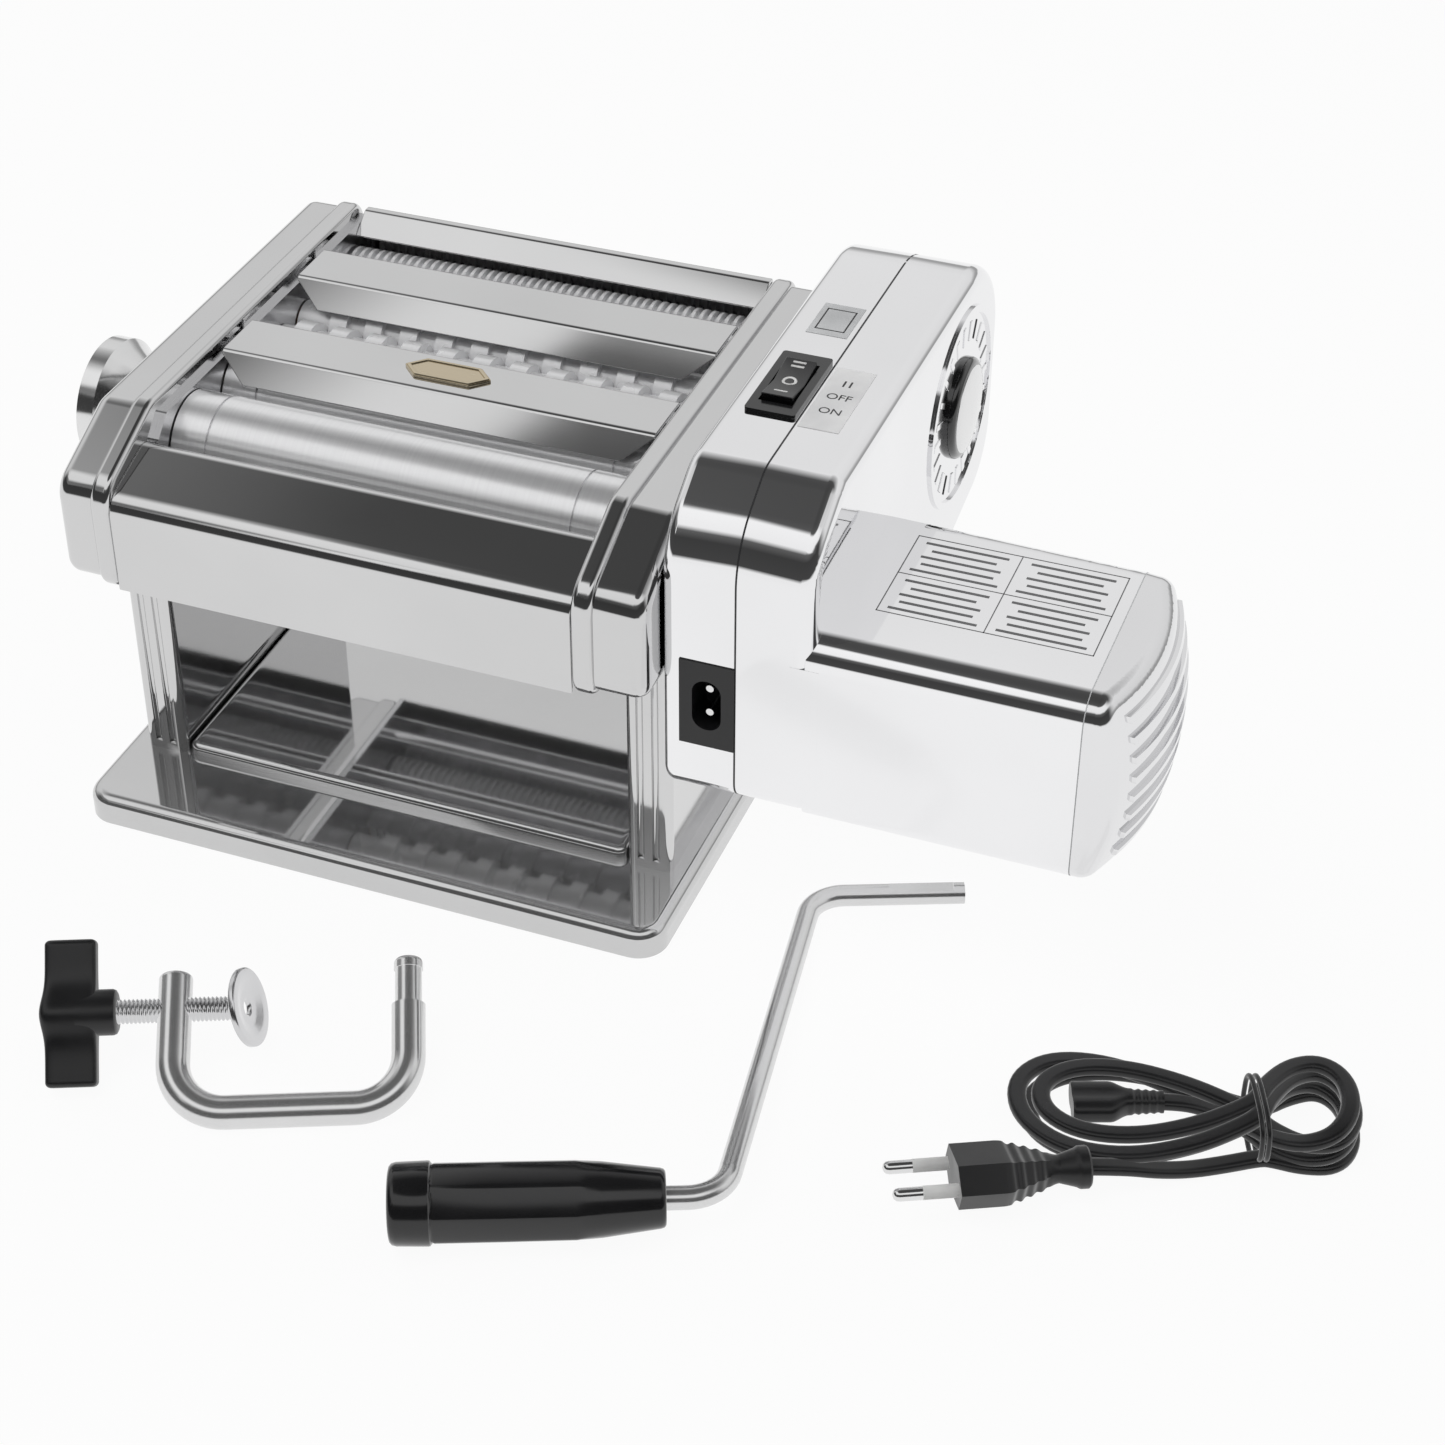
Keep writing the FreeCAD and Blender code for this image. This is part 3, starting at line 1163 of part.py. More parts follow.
def make_end_cap():
    end_x = SEAM_X + CAP_LENGTH
    outer = loft(box_wire(SEAM_X, 0, BOX_DRAFT), box_wire(end_x, 0, 2 * BOX_DRAFT))
    inner = loft(box_wire(SEAM_X, CASE_WALL, BOX_DRAFT), box_wire(end_x, CASE_WALL, 2 * BOX_DRAFT))
    room = inner.common(crown(CAP_CROWN_R - CASE_WALL))
    domed = outer.common(crown(CAP_CROWN_R))
    rim = [e for e in domed.Edges if min(p.Point.x for p in e.Vertexes) > SEAM_X + CAP_EDGE / 4]
    rim = [e for e in rim if e.BoundBox.XLength < CAP_LENGTH / 2]
    cap = domed.makeFillet(CAP_EDGE, rim).cut(room)
    middle_z = (MOTOR_LOW + BOX_TOP) / 2
    skin = crown(CAP_CROWN_R + CAP_RIB_DEPTH).cut(crown(CAP_CROWN_R - CASE_WALL / 2))
    half_y = BOX_DEPTH / 2 - CAP_RIB_MARGIN
    ribs = []
    for k in range(CAP_RIBS):
        z = middle_z + (k - (CAP_RIBS - 1) / 2) * CAP_RIB_PITCH
        span = (BOX_MID_Y - half_y, BOX_MID_Y + half_y, z - CAP_RIB_T / 2, z + CAP_RIB_T / 2)
        ribs.append(box(SEAM_X, end_x + CAP_LENGTH, *span).common(skin))
    bearing_end = SEAM_X + BEARING_LENGTH
    stem = rod_x(BEARING_R + CASE_WALL, SEAM_X, end_x - CASE_WALL, ARMATURE_Y, MOTOR_AXIS_Z)
    stem = stem.common(crown(CAP_CROWN_R - CASE_WALL / 2))
    cap = joined([cap, stem] + ribs)
    save("end_cap", cap.cut(rod_x(BEARING_R + SEAT_FIT, SEAM_X, bearing_end, ARMATURE_Y, MOTOR_AXIS_Z)))


def layer(index):
    # The three layers of the gear train, counted from the motor towards the machine.
    x1 = PARTING_X + TRAIN_T * 1.5 - index * (TRAIN_T + TRAIN_GAP)
    return x1 - TRAIN_T, x1


def make_train():
    a, b, c, d = train_axes()
    first_x = layer(0)
    second_x = layer(1)
    third_x = layer(2)
    ab = direction(a, b)
    bc = direction(b, c)
    cd = direction(c, d)

    stator_x = SLAB_X + STATOR_STAND
    core = rod_x(ARMATURE_R, stator_x, stator_x + ARMATURE_LENGTH, a.x, a.y)
    shaft = rod_x(SHAFT_R, first_x[0], SEAM_X + BEARING_LENGTH - FREE_GAP, a.x, a.y)
    commutator_x = stator_x + ARMATURE_LENGTH + FREE_GAP * 8
    commutator = rod_x(ARMATURE_R / 2, commutator_x, commutator_x + 9.0, a.x, a.y)
    pinion = gear(PINION_TEETH, FIRST_MODULE, ab, a.x, a.y, *first_x)
    save("armature", joined([core, shaft, commutator, pinion]))

    fan_x = commutator_x + 9.0 + FREE_GAP * 4
    hub = rod_x(SHAFT_R + 4.0, fan_x, fan_x + FAN_T, a.x, a.y)
    disc = rod_x(FAN_R, fan_x, fan_x + 1.5, a.x, a.y)
    blade = box(fan_x, fan_x + FAN_T, a.x + SHAFT_R + 2.0, a.x + FAN_R, a.y - 0.8, a.y + 0.8)
    blades = []
    for k in range(FAN_BLADES):
        turned = blade.copy()
        turned.rotate(V(0, a.x, a.y), V(1, 0, 0), k * 360 / FAN_BLADES)
        blades.append(turned)
    fan = joined([hub, disc] + blades).cut(rod_x(SHAFT_R + SEAT_FIT, fan_x, fan_x + FAN_T, a.x, a.y))
    save("cooling_fan", fan)

    half_y = STATOR_HALF
    half_z = STATOR_HEIGHT / 2
    outline = rectangle(a.x - half_y, a.x + half_y, a.y - half_z, a.y + half_z, 6.0)
    stator = prism_x(outline, stator_x, stator_x + ARMATURE_LENGTH)
    bore = rod_x(ARMATURE_R + AIR_GAP, stator_x, stator_x + ARMATURE_LENGTH, a.x, a.y)
    save("stator", stator.cut(bore))

    met = meshed_phase(ab, PINION_TEETH, ab, FIRST_LARGE_TEETH)
    large = gear(FIRST_LARGE_TEETH, FIRST_MODULE, met, b.x, b.y, *first_x)
    small = gear(FIRST_SMALL_TEETH, SECOND_MODULE, bc, b.x, b.y, second_x[0], first_x[0])
    pin_hole = rod_x(IDLER_PIN_R + RUN_FIT, second_x[0], first_x[1], b.x, b.y)
    save("first_idler", joined([large, small]).cut(pin_hole))

    met = meshed_phase(bc, FIRST_SMALL_TEETH, bc, SECOND_LARGE_TEETH)
    large = gear(SECOND_LARGE_TEETH, SECOND_MODULE, met, c.x, c.y, *second_x)
    small = gear(SECOND_SMALL_TEETH, THIRD_MODULE, cd, c.x, c.y, third_x[0], second_x[0])
    pin_hole = rod_x(IDLER_PIN_R + RUN_FIT, third_x[0], second_x[1], c.x, c.y)
    save("second_idler", joined([large, small]).cut(pin_hole))

    met = meshed_phase(cd, SECOND_SMALL_TEETH, cd, OUTPUT_TEETH)
    wheel = gear(OUTPUT_TEETH, THIRD_MODULE, met, d.x, d.y, *third_x)
    spindle = rod_x(SPINDLE_R, MOTOR_X, third_x[0], d.x, d.y)
    dog = rod_x(CRANK_R, SHAFT_END_X - SOCKET_DEPTH + FREE_GAP, MOTOR_X, d.x, d.y)
    flat_z = d.y + CRANK_R - CRANK_FLAT - SOCKET_FIT
    flat = box(0, MOTOR_X, d.x - CRANK_R, d.x + CRANK_R, flat_z, d.y + CRANK_R + 1)
    save("output_gear", joined([wheel, spindle, dog.cut(flat)]))

    bearing_x = SLAB_X - CASE_WALL - BEARING_LENGTH / 2
    front = rod_x(BEARING_R, bearing_x, SLAB_X + BEARING_LENGTH / 2, a.x, a.y)
    front = front.cut(rod_x(SHAFT_R + RUN_FIT, bearing_x, SLAB_X + BEARING_LENGTH / 2, a.x, a.y))
    rear = rod_x(BEARING_R, SEAM_X, SEAM_X + BEARING_LENGTH, a.x, a.y)
    rear = rear.cut(rod_x(SHAFT_R + RUN_FIT, SEAM_X, SEAM_X + BEARING_LENGTH, a.x, a.y))
    hub_end = MOTOR_X + CASE_WALL + BEARING_LENGTH / 2
    bush = rod_x(SPINDLE_R + BUSH_WALL, MOTOR_X, hub_end, d.x, d.y)
    bush = bush.cut(rod_x(SPINDLE_R + RUN_FIT, MOTOR_X, hub_end, d.x, d.y))
    save("motor_bearings", Part.makeCompound([front, rear, bush]))


# Switch and mains inlet
def switch_x():
    return PARTING_X - SWITCH_WIDTH / 2 - 1.0


def switch_hole():
    x = switch_x()
    y = FRONT + SWITCH_MID
    half_x = SWITCH_WIDTH / 2 - 1.5
    half_y = SWITCH_LENGTH / 2 - 1.5
    return box(x - half_x, x + half_x, y - half_y, y + half_y, MOTOR_TOP - 3 * CASE_WALL, MOTOR_TOP + 1)


def inlet_x():
    return PARTING_X - INLET_WIDTH / 2 - SEAT_FIT


def inlet_hole():
    x = inlet_x()
    half_x = INLET_WIDTH / 2 + SEAT_FIT
    half_z = INLET_HEIGHT / 2 + SEAT_FIT
    z0 = INLET_MID_Z - half_z
    z1 = INLET_MID_Z + half_z
    return box(x - half_x, x + half_x, MOTOR_FRONT_Y - 1, MOTOR_FRONT_Y + 3 * CASE_WALL, z0, z1)


def make_switch():
    x = switch_x()
    y = FRONT + SWITCH_MID
    half_x = SWITCH_WIDTH / 2
    half_y = SWITCH_LENGTH / 2
    rim = 1.5 + SEAT_FIT
    top = MOTOR_TOP + SWITCH_PROUD
    flange = prism_z(rectangle(x - half_x, x + half_x, y - half_y, y + half_y, 1.0), MOTOR_TOP, top)
    body_x = half_x - rim
    body_y = half_y - rim
    body = box(x - body_x, x + body_x, y - body_y, y + body_y, MOTOR_TOP - SWITCH_DEEP, MOTOR_TOP)
    well_x = ROCKER_WIDTH / 2 + FREE_GAP
    well_y = ROCKER_LENGTH / 2 + 2 * FREE_GAP
    well = box(x - well_x, x + well_x, y - well_y, y + well_y, MOTOR_TOP - SWITCH_DEEP + 2.0, top)
    pivot_z = MOTOR_TOP
    pin_r = 1.2
    pin = rod_x(pin_r, x - well_x, x + well_x, y, pivot_z - 2.0)
    save("switch_body", joined([flange, body]).cut(well).fuse(pin).removeSplitter())

    half = ROCKER_LENGTH / 2
    outline = [
        (y - half, pivot_z + ROCKER_RISE),
        (y, pivot_z + ROCKER_DIP),
        (y + half, pivot_z + ROCKER_RISE),
        (y + half - 2.5, pivot_z - ROCKER_KEEL),
        (y - half + 2.5, pivot_z - ROCKER_KEEL),
    ]
    rocker = polygon_x(outline, x - ROCKER_WIDTH / 2, x + ROCKER_WIDTH / 2)
    hole = rod_x(pin_r + RUN_FIT, x - ROCKER_WIDTH, x + ROCKER_WIDTH, y, pivot_z - 2.0)
    save("switch_rocker", rocker.cut(hole))


def make_inlet():
    x = inlet_x()
    half_x = INLET_WIDTH / 2
    half_z = INLET_HEIGHT / 2
    y0 = MOTOR_FRONT_Y - FREE_GAP
    y1 = MOTOR_FRONT_Y + INLET_DEEP
    body = box(x - half_x, x + half_x, y0, y1, INLET_MID_Z - half_z, INLET_MID_Z + half_z)
    socket_end = y0 + INLET_SOCKET_DEEP
    half = INLET_PIN_SPACING / 2
    low = INLET_MID_Z - half - INLET_SOCKET_R
    high = INLET_MID_Z + half + INLET_SOCKET_R
    round_r = INLET_SOCKET_R * 0.98
    socket = prism_y(rectangle(x - INLET_SOCKET_R, x + INLET_SOCKET_R, low, high, round_r), y0, socket_end)
    save("inlet_socket", body.cut(socket))
    pins = []
    for side in (-1, 1):
        z = INLET_MID_Z + side * half
        pins.append(Part.makeCylinder(INLET_PIN_R, INLET_PIN_LENGTH, V(x, socket_end, z), V(0, -1, 0)))
    save("inlet_pins", Part.makeCompound(pins))


# Hand crank
def make_crank():
    sink = math.degrees(math.asin((GRIP_R - CRANK_R) / CRANK_THROW))
    corner = V(CRANK_REACH, 0, 0)
    elbow = V(CRANK_REACH + CRANK_SLANT, CRANK_THROW, 0)
    tip = elbow + V(CRANK_END, 0, 0)
    rod = pipe([V(GRIP_BUTT / 2, 0, 0), corner, elbow, tip], CRANK_BEND, CRANK_R)
    flat_y = (CRANK_THROW - CRANK_R, CRANK_THROW + CRANK_R)
    flat = box(tip.x - CRANK_END / 2, tip.x - CRANK_R, *flat_y, CRANK_R - CRANK_FLAT, 2 * CRANK_R)
    rod = rod.cut(flat)
    place = CRANK_PLACE + V(0, 0, GRIP_R)
    save("crank_rod", placed(rod, place, CRANK_YAW_DEG, 0, -sink))

    ridge = GRIP_R * 0.985
    turns = [2 * math.pi * k / GRIP_FACETS for k in range(GRIP_FACETS)]
    facets = [V(0, ridge * math.cos(turn), ridge * math.sin(turn)) for turn in turns]
    outline = Part.makePolygon(facets + [facets[0]])
    body = Part.Face(outline).extrude(V(GRIP_LENGTH - GRIP_NOSE, 0, 0))
    butt = rod_x(GRIP_R, 0, GRIP_BUTT, 0, 0)
    nose_start = V(GRIP_LENGTH - GRIP_NOSE, 0, 0)
    nose = Part.makeCone(GRIP_R * 0.92, GRIP_NOSE_R, GRIP_NOSE, nose_start, V(1, 0, 0))
    grip = joined([body, butt, nose])
    bore = rod_x(CRANK_R + RUN_FIT, GRIP_BUTT / 2 - RUN_FIT, GRIP_LENGTH, 0, 0)
    save("crank_grip", placed(grip.cut(bore), place, CRANK_YAW_DEG, 0, -sink))


# Table clamp: local x along the screw, local y along the arms, then tilted up and turned
def clamp_placed(shape):
    tilted = shape.copy()
    tilted.rotate(V(0, 0, 0), V(1, 0, 0), CLAMP_TILT_DEG)
    tilted.rotate(V(0, 0, 0), V(0, 0, 1), CLAMP_YAW_DEG)
    tilted.translate(CLAMP_PLACE + V(0, 0, CLAMP_ROD_R))
    return tilted


def is_root(edge, x0, x1):
    # An edge along the hub where a wing's face leaves it.
    a, b = edge.BoundBox.XMin, edge.BoundBox.XMax
    straight = edge.BoundBox.YLength < 1e-4 and edge.BoundBox.ZLength < 1e-4
    near = abs(edge.Vertexes[0].Point.y) < WING_HUB_R
    return straight and near and abs(a - x0) < 1e-4 and abs(b - x1) < 1e-4


def rounded_tip(shape, y, radius):
    tips = [e for e in shape.Edges if e.BoundBox.YLength < 1e-4 and abs(e.BoundBox.YMin - y) < 1e-4]
    return shape.makeFillet(radius, tips)


def make_clamp():
    half = CLAMP_SPAN / 2
    line = [V(-half, CLAMP_SCREW_ARM, 0), V(-half, 0, 0), V(half, 0, 0), V(half, CLAMP_PEG_ARM, 0)]
    arm = rounded_tip(pipe(line, CLAMP_BEND, CLAMP_ROD_R), CLAMP_SCREW_ARM, ROD_END)
    up = V(0, 1, 0)
    shank = Part.makeCylinder(PEG_R - PEG_NECK, PEG_LENGTH - PEG_HEAD, V(half, CLAMP_PEG_ARM, 0), up)
    head = Part.makeCylinder(PEG_R, PEG_HEAD, V(half, CLAMP_PEG_ARM + PEG_LENGTH - PEG_HEAD, 0), up)
    head = rounded_tip(head, CLAMP_PEG_ARM + PEG_LENGTH, ROD_END)
    arm = joined([arm, shank, head])
    reach = 2 * CLAMP_ROD_R
    hole = rod_x(CLAMP_SCREW_R + RUN_FIT, -half - reach, -half + reach, CLAMP_SCREW_Z, 0)
    save("clamp_arm", clamp_placed(arm.cut(hole)))

    hub_x = -half - CLAMP_ROD_R - CLAMP_SCREW_OUT
    pad_x = -half + CLAMP_ROD_R + CLAMP_SCREW_IN
    screw = rod_x(CLAMP_SCREW_R, hub_x - WING_HUB / 2, pad_x, CLAMP_SCREW_Z, 0)
    tip = rod_x(CLAMP_SCREW_R / 2, pad_x, pad_x + CLAMP_PAD_T / 2, CLAMP_SCREW_Z, 0)
    save("clamp_screw", clamp_placed(joined([screw, tip])))

    hub = rod_x(WING_HUB_R, hub_x - WING_HUB, hub_x, 0, 0)
    wing_x = hub_x - WING_HUB
    wing_half = WING_LENGTH / 2
    outline = rectangle(-wing_half, wing_half, -WING_T / 2, WING_T / 2, 2.0)
    wing = prism_x(outline, wing_x, wing_x + WING_WIDTH)
    knob = joined([hub, wing])
    roots = [e for e in knob.Edges if is_root(e, wing_x, wing_x + WING_WIDTH)]
    knob = knob.makeFillet(WING_BLEND, roots)
    knob = knob.cut(rod_x(CLAMP_SCREW_R + SEAT_FIT, hub_x - WING_HUB / 2, hub_x, 0, 0))
    axis_height = CLAMP_ROD_R + CLAMP_SCREW_Z * math.sin(math.radians(CLAMP_TILT_DEG))
    lean = math.degrees(math.asin((axis_height - WING_T / 2) / wing_half)) - CLAMP_TILT_DEG
    knob.rotate(V(0, 0, 0), V(1, 0, 0), lean)
    knob.translate(V(0, CLAMP_SCREW_Z, 0))
    save("clamp_knob", clamp_placed(knob))

    pad = spun_x(
        [
            (0.6, 0.0),
            (0.6, CLAMP_SCREW_R),
            (1.6, CLAMP_PAD_R),
            (CLAMP_PAD_T, CLAMP_PAD_R),
            (CLAMP_PAD_T, CLAMP_PAD_R - 2.5),
            (2.4, CLAMP_SCREW_R + 1.0),
            (2.4, 0.0),
        ],
        0,
        0,
    )
    pad = pad.cut(rod_x(CLAMP_SCREW_R / 2 + FREE_GAP, 0, CLAMP_PAD_T, 0, 0))
    pad.rotate(V(CLAMP_PAD_T / 2, 0, 0), V(0, 1, 0), -CLAMP_PAD_TILT_DEG)
    pad.translate(V(pad_x + CLAMP_SCREW_R * math.tan(math.radians(CLAMP_PAD_TILT_DEG)), CLAMP_SCREW_Z, 0))
    save("clamp_pad", clamp_placed(pad))


# Mains lead
def on_hank(shape):
    return placed(shape, HANK_MID, HANK_YAW_DEG)


def make_lead():
    half_l = HANK_LENGTH / 2
    half_w = HANK_WIDTH / 2
    hank = prism_z(rectangle(-half_l, half_l, -half_w, half_w, half_w * 0.9), 0, HANK_HEIGHT)
    hank = rounded_at_z(hank, HANK_HEIGHT, CORD_DIA / 2)
    eye_l = HANK_EYE_LENGTH / 2
    eye_w = HANK_EYE_WIDTH / 2
    eye = rectangle(HANK_EYE_OFFSET - eye_l, HANK_EYE_OFFSET + eye_l, -eye_w, eye_w, eye_w * 0.6)
    hank_block = on_hank(hank)
    hank = hank.cut(prism_z(eye, 0, HANK_HEIGHT))
    groove_x0 = TIE_WRAP_OFFSET - TIE_WRAP_WIDTH / 2
    groove_x1 = TIE_WRAP_OFFSET + TIE_WRAP_WIDTH / 2
    outside = box(groove_x0, groove_x1, -half_w, half_w, 0, HANK_HEIGHT)
    inside_w = half_w - TIE_WRAP_T
    inside = box(groove_x0, groove_x1, -inside_w, inside_w, TIE_WRAP_T, HANK_HEIGHT - TIE_WRAP_T)
    band = outside.cut(inside)
    hank = on_hank(hank.cut(band))
    save("cord_hank", hank)
    save("cord_tie", on_hank(band))

    nose_w = PLUG_WIDTH / 2
    nose_t = PLUG_T / 2
    flat = PLUG_FLAT / 2
    nose = [(-nose_w, 0, 1.0), (-flat, -nose_t, 1.0), (flat, -nose_t, 1.0)]
    nose += [(nose_w, 0, 1.0), (flat, nose_t, 1.0), (-flat, nose_t, 1.0)]
    block = prism_x(nose, 0, PLUG_BLOCK)
    tail_w = PLUG_TAIL_WIDTH / 2
    tail_t = PLUG_TAIL_T / 2
    tail_flat = tail_w * PLUG_FLAT / PLUG_WIDTH
    tail = [(-tail_w, 0, 1.0), (-tail_flat, -tail_t, 1.0), (tail_flat, -tail_t, 1.0)]
    tail += [(tail_w, 0, 1.0), (tail_flat, tail_t, 1.0), (-tail_flat, tail_t, 1.0)]
    neck = loft(rounded_wire(nose, on_x(PLUG_BLOCK)), rounded_wire(tail, on_x(PLUG_LENGTH)))
    flare = RELIEF_LENGTH - COLLAR_T
    relief = Part.makeCone(tail_t * 0.9, COLLAR_R, flare, V(PLUG_LENGTH, 0, 0), V(1, 0, 0))
    collar = rod_x(COLLAR_R, PLUG_LENGTH + flare, PLUG_LENGTH + RELIEF_LENGTH, 0, 0)
    plug = joined([block, neck, relief, collar])
    plug = placed(plug, PLUG_PLACE, PLUG_YAW_DEG, 0, PLUG_ROLL_DEG)
    save("plug_body", plug)
    yaw = math.radians(PLUG_YAW_DEG)
    ahead = V(math.cos(yaw), math.sin(yaw), 0)
    start = PLUG_PLACE + ahead * (PLUG_LENGTH + RELIEF_LENGTH)
    tail_line = [start, start + ahead * TAIL_RUN, HANK_MID + V(0, 0, PLUG_HEIGHT)]
    cord = pipe(tail_line, TAIL_BEND, CORD_DIA / 2)
    save("cord_tail", cord.cut(hank_block))
    pins = []
    for side in (-1, 1):
        start = V(0, side * PLUG_PIN_SPACING / 2, 0)
        pins.append(Part.makeCylinder(PLUG_PIN_R, PLUG_PIN_LENGTH, start, V(-1, 0, 0)))
    save("plug_pins", placed(Part.makeCompound(pins), PLUG_PLACE, PLUG_YAW_DEG, 0, PLUG_ROLL_DEG))

    nose_w = CONNECTOR_WIDTH / 2
    nose_t = CONNECTOR_T / 2
    nose = rectangle(-nose_w, nose_w, -nose_t, nose_t, CONNECTOR_T * 0.45)
    solid = prism_x(nose, 0, CONNECTOR_LENGTH)
    boot_start = V(CONNECTOR_LENGTH, 0, 0)
    boot = Part.makeCone(CORD_DIA * 0.7, CORD_DIA * 0.55, CONNECTOR_BOOT, boot_start, V(1, 0, 0))
    connector = joined([solid, boot])
    start_x = HANK_EYE_OFFSET + eye_l - CONNECTOR_LENGTH - CONNECTOR_BOOT
    connector.translate(V(start_x, 0, CONNECTOR_T / 2))
    save("connector", on_hank(connector))


make_base()
make_legs()
make_sides()
make_top()
make_rollers()
make_cutters()
make_strippers()
make_dial()
make_motor_cases()
make_end_cap()
make_train()
make_switch()
make_inlet()
make_crank()
make_clamp()
make_lead()
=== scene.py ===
"""Dresses the packed pasta roller machine with its finishes, marks, lead and hand tools."""
import json
import math

import bmesh
import bpy
import numpy as np
from mathutils import Matrix, Vector

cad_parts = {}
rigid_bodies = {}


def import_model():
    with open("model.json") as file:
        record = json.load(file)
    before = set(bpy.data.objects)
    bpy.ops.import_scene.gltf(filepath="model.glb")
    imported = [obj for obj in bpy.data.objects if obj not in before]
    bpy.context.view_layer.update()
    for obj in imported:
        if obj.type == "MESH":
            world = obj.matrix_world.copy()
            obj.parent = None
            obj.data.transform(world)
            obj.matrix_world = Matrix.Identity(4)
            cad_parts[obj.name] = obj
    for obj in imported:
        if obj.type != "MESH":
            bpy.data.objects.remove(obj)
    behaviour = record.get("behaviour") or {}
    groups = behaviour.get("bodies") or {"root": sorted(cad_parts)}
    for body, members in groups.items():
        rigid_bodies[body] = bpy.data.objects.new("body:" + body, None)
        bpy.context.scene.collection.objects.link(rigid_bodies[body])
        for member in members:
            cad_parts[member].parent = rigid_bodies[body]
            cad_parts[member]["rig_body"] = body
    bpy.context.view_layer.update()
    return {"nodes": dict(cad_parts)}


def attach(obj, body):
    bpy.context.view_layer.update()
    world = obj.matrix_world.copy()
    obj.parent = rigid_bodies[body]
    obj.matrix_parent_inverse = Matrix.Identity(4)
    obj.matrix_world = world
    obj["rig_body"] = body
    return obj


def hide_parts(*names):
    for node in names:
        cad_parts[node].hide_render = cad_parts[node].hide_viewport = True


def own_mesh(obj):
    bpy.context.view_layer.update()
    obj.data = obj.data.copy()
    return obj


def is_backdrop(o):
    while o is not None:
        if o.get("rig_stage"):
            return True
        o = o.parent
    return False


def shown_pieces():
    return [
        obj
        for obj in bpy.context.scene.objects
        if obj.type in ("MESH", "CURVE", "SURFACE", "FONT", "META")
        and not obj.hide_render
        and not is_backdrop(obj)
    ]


bl_info = {
    "name": "Pasta roller machine",
    "version": (1, 0, 0),
    "blender": (4, 5, 0),
    "location": "View3D > Sidebar > Pasta Roller",
    "description": "Dresses the pasta roller machine, its motor, crank, clamp and mains lead",
    "category": "Object",
}

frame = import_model()
NODES = frame["nodes"]
MM = 0.001
TURN = 2.0 * math.pi
SHARP_EDGE = math.radians(38.0)
BEVEL_FROM = math.radians(40.0)
WELD_GAP = 0.01


# Settings

def length(name, description, default):
    """A length in metres that a user may change."""
    return bpy.props.FloatProperty(
        name=name, description=description, default=default, unit="LENGTH", min=0.0)


def colour(name, description, default):
    """A linear red, green and blue that a user may change."""
    return bpy.props.FloatVectorProperty(
        name=name, description=description, default=default, subtype="COLOR", size=3, min=0.0, max=1.0)


class RollerFinishes(bpy.types.PropertyGroup):
    """Colours of the metals, plastics and prints."""
    sheet: colour("Polished sheet", "Mirror-polished steel of the body", (0.65, 0.65, 0.652))
    # A darker copy of this tone is the painted shade of the end cap
    plating: colour("Motor plating", "Bright plating of the motor housing", (0.88, 0.88, 0.89))
    rod: colour("Plated rod", "Chrome of the crank rod and dial knob", (0.77, 0.77, 0.772))
    roller: colour("Roller alloy", "Satin alloy of the rollers", (0.90, 0.90, 0.91))
    cutter: colour("Cutter steel", "Bright steel of the cutters", (0.93, 0.93, 0.94))
    gear: colour("Gear steel", "Plain machined steel of gears and shafts", (0.46, 0.46, 0.47))
    zinc: colour("Zinc plate", "Zinc-plated steel of the clamp", (0.66, 0.66, 0.67))
    bronze: colour("Bronze", "Sintered bronze of the bushes", (0.55, 0.34, 0.15))
    gold: colour("Badge gold", "Champagne gold of the top plate badge", (0.60, 0.52, 0.38))
    # Made twice as light, this tone is also the painted shadow along the case parting
    black: colour("Moulded black", "Black plastic of grip, switch and plug", (0.012, 0.012, 0.013))
    nylon: colour("Nylon", "Pale plastic of hidden blocks and gears", (0.62, 0.60, 0.54))
    copper: colour("Winding copper", "Enamelled copper of the motor windings", (0.42, 0.16, 0.06))
    # This tone is also the painted shade in the seam of the end cap
    sticker: colour("Sticker", "Silver-grey foil of the stickers", (0.68, 0.69, 0.70))
    film: colour("Legend film", "Pale film of the legend beside the switch", (0.92, 0.92, 0.93))
    print_white: colour("White print", "White marks on the switch", (0.85, 0.85, 0.84))
    print_grey: colour("Grey print", "Rules and bars of the panel on the motor box", (0.16, 0.16, 0.165))


class LeadSizes(bpy.types.PropertyGroup):
    """Sizes of the flat mains lead."""
    width: length("Cord width", "Width of the flat twin cord", 5.6 * MM)
    thickness: length("Cord thickness", "Thickness of the flat twin cord", 3.7 * MM)
    tie_wire: length("Tie wire", "Diameter of the plastic-coated tie", 1.5 * MM)


class MarkSizes(bpy.types.PropertyGroup):
    """Sizes of the printed marks and stickers."""
    letter: length("Letter height", "Height of the words beside the switch", 4.6 * MM)
    foil: length("Foil thickness", "How far a sticker stands proud", 0.12 * MM)
    bar: length("Mark width", "Width of a stroke on the rocker", 0.9 * MM)


class StageSettings(bpy.types.PropertyGroup):
    """Floor, lights and lens."""
    floor: length("Floor width", "Width of the square floor", 8.0)
    lens: bpy.props.FloatProperty(
        name="Lens", description="Focal length", default=72.80, unit="CAMERA", min=1.0)
    key_power: bpy.props.FloatProperty(
        name="Key light", description="Power of the overhead soft box", default=5.0, unit="POWER", min=0.0)


# Mesh makers

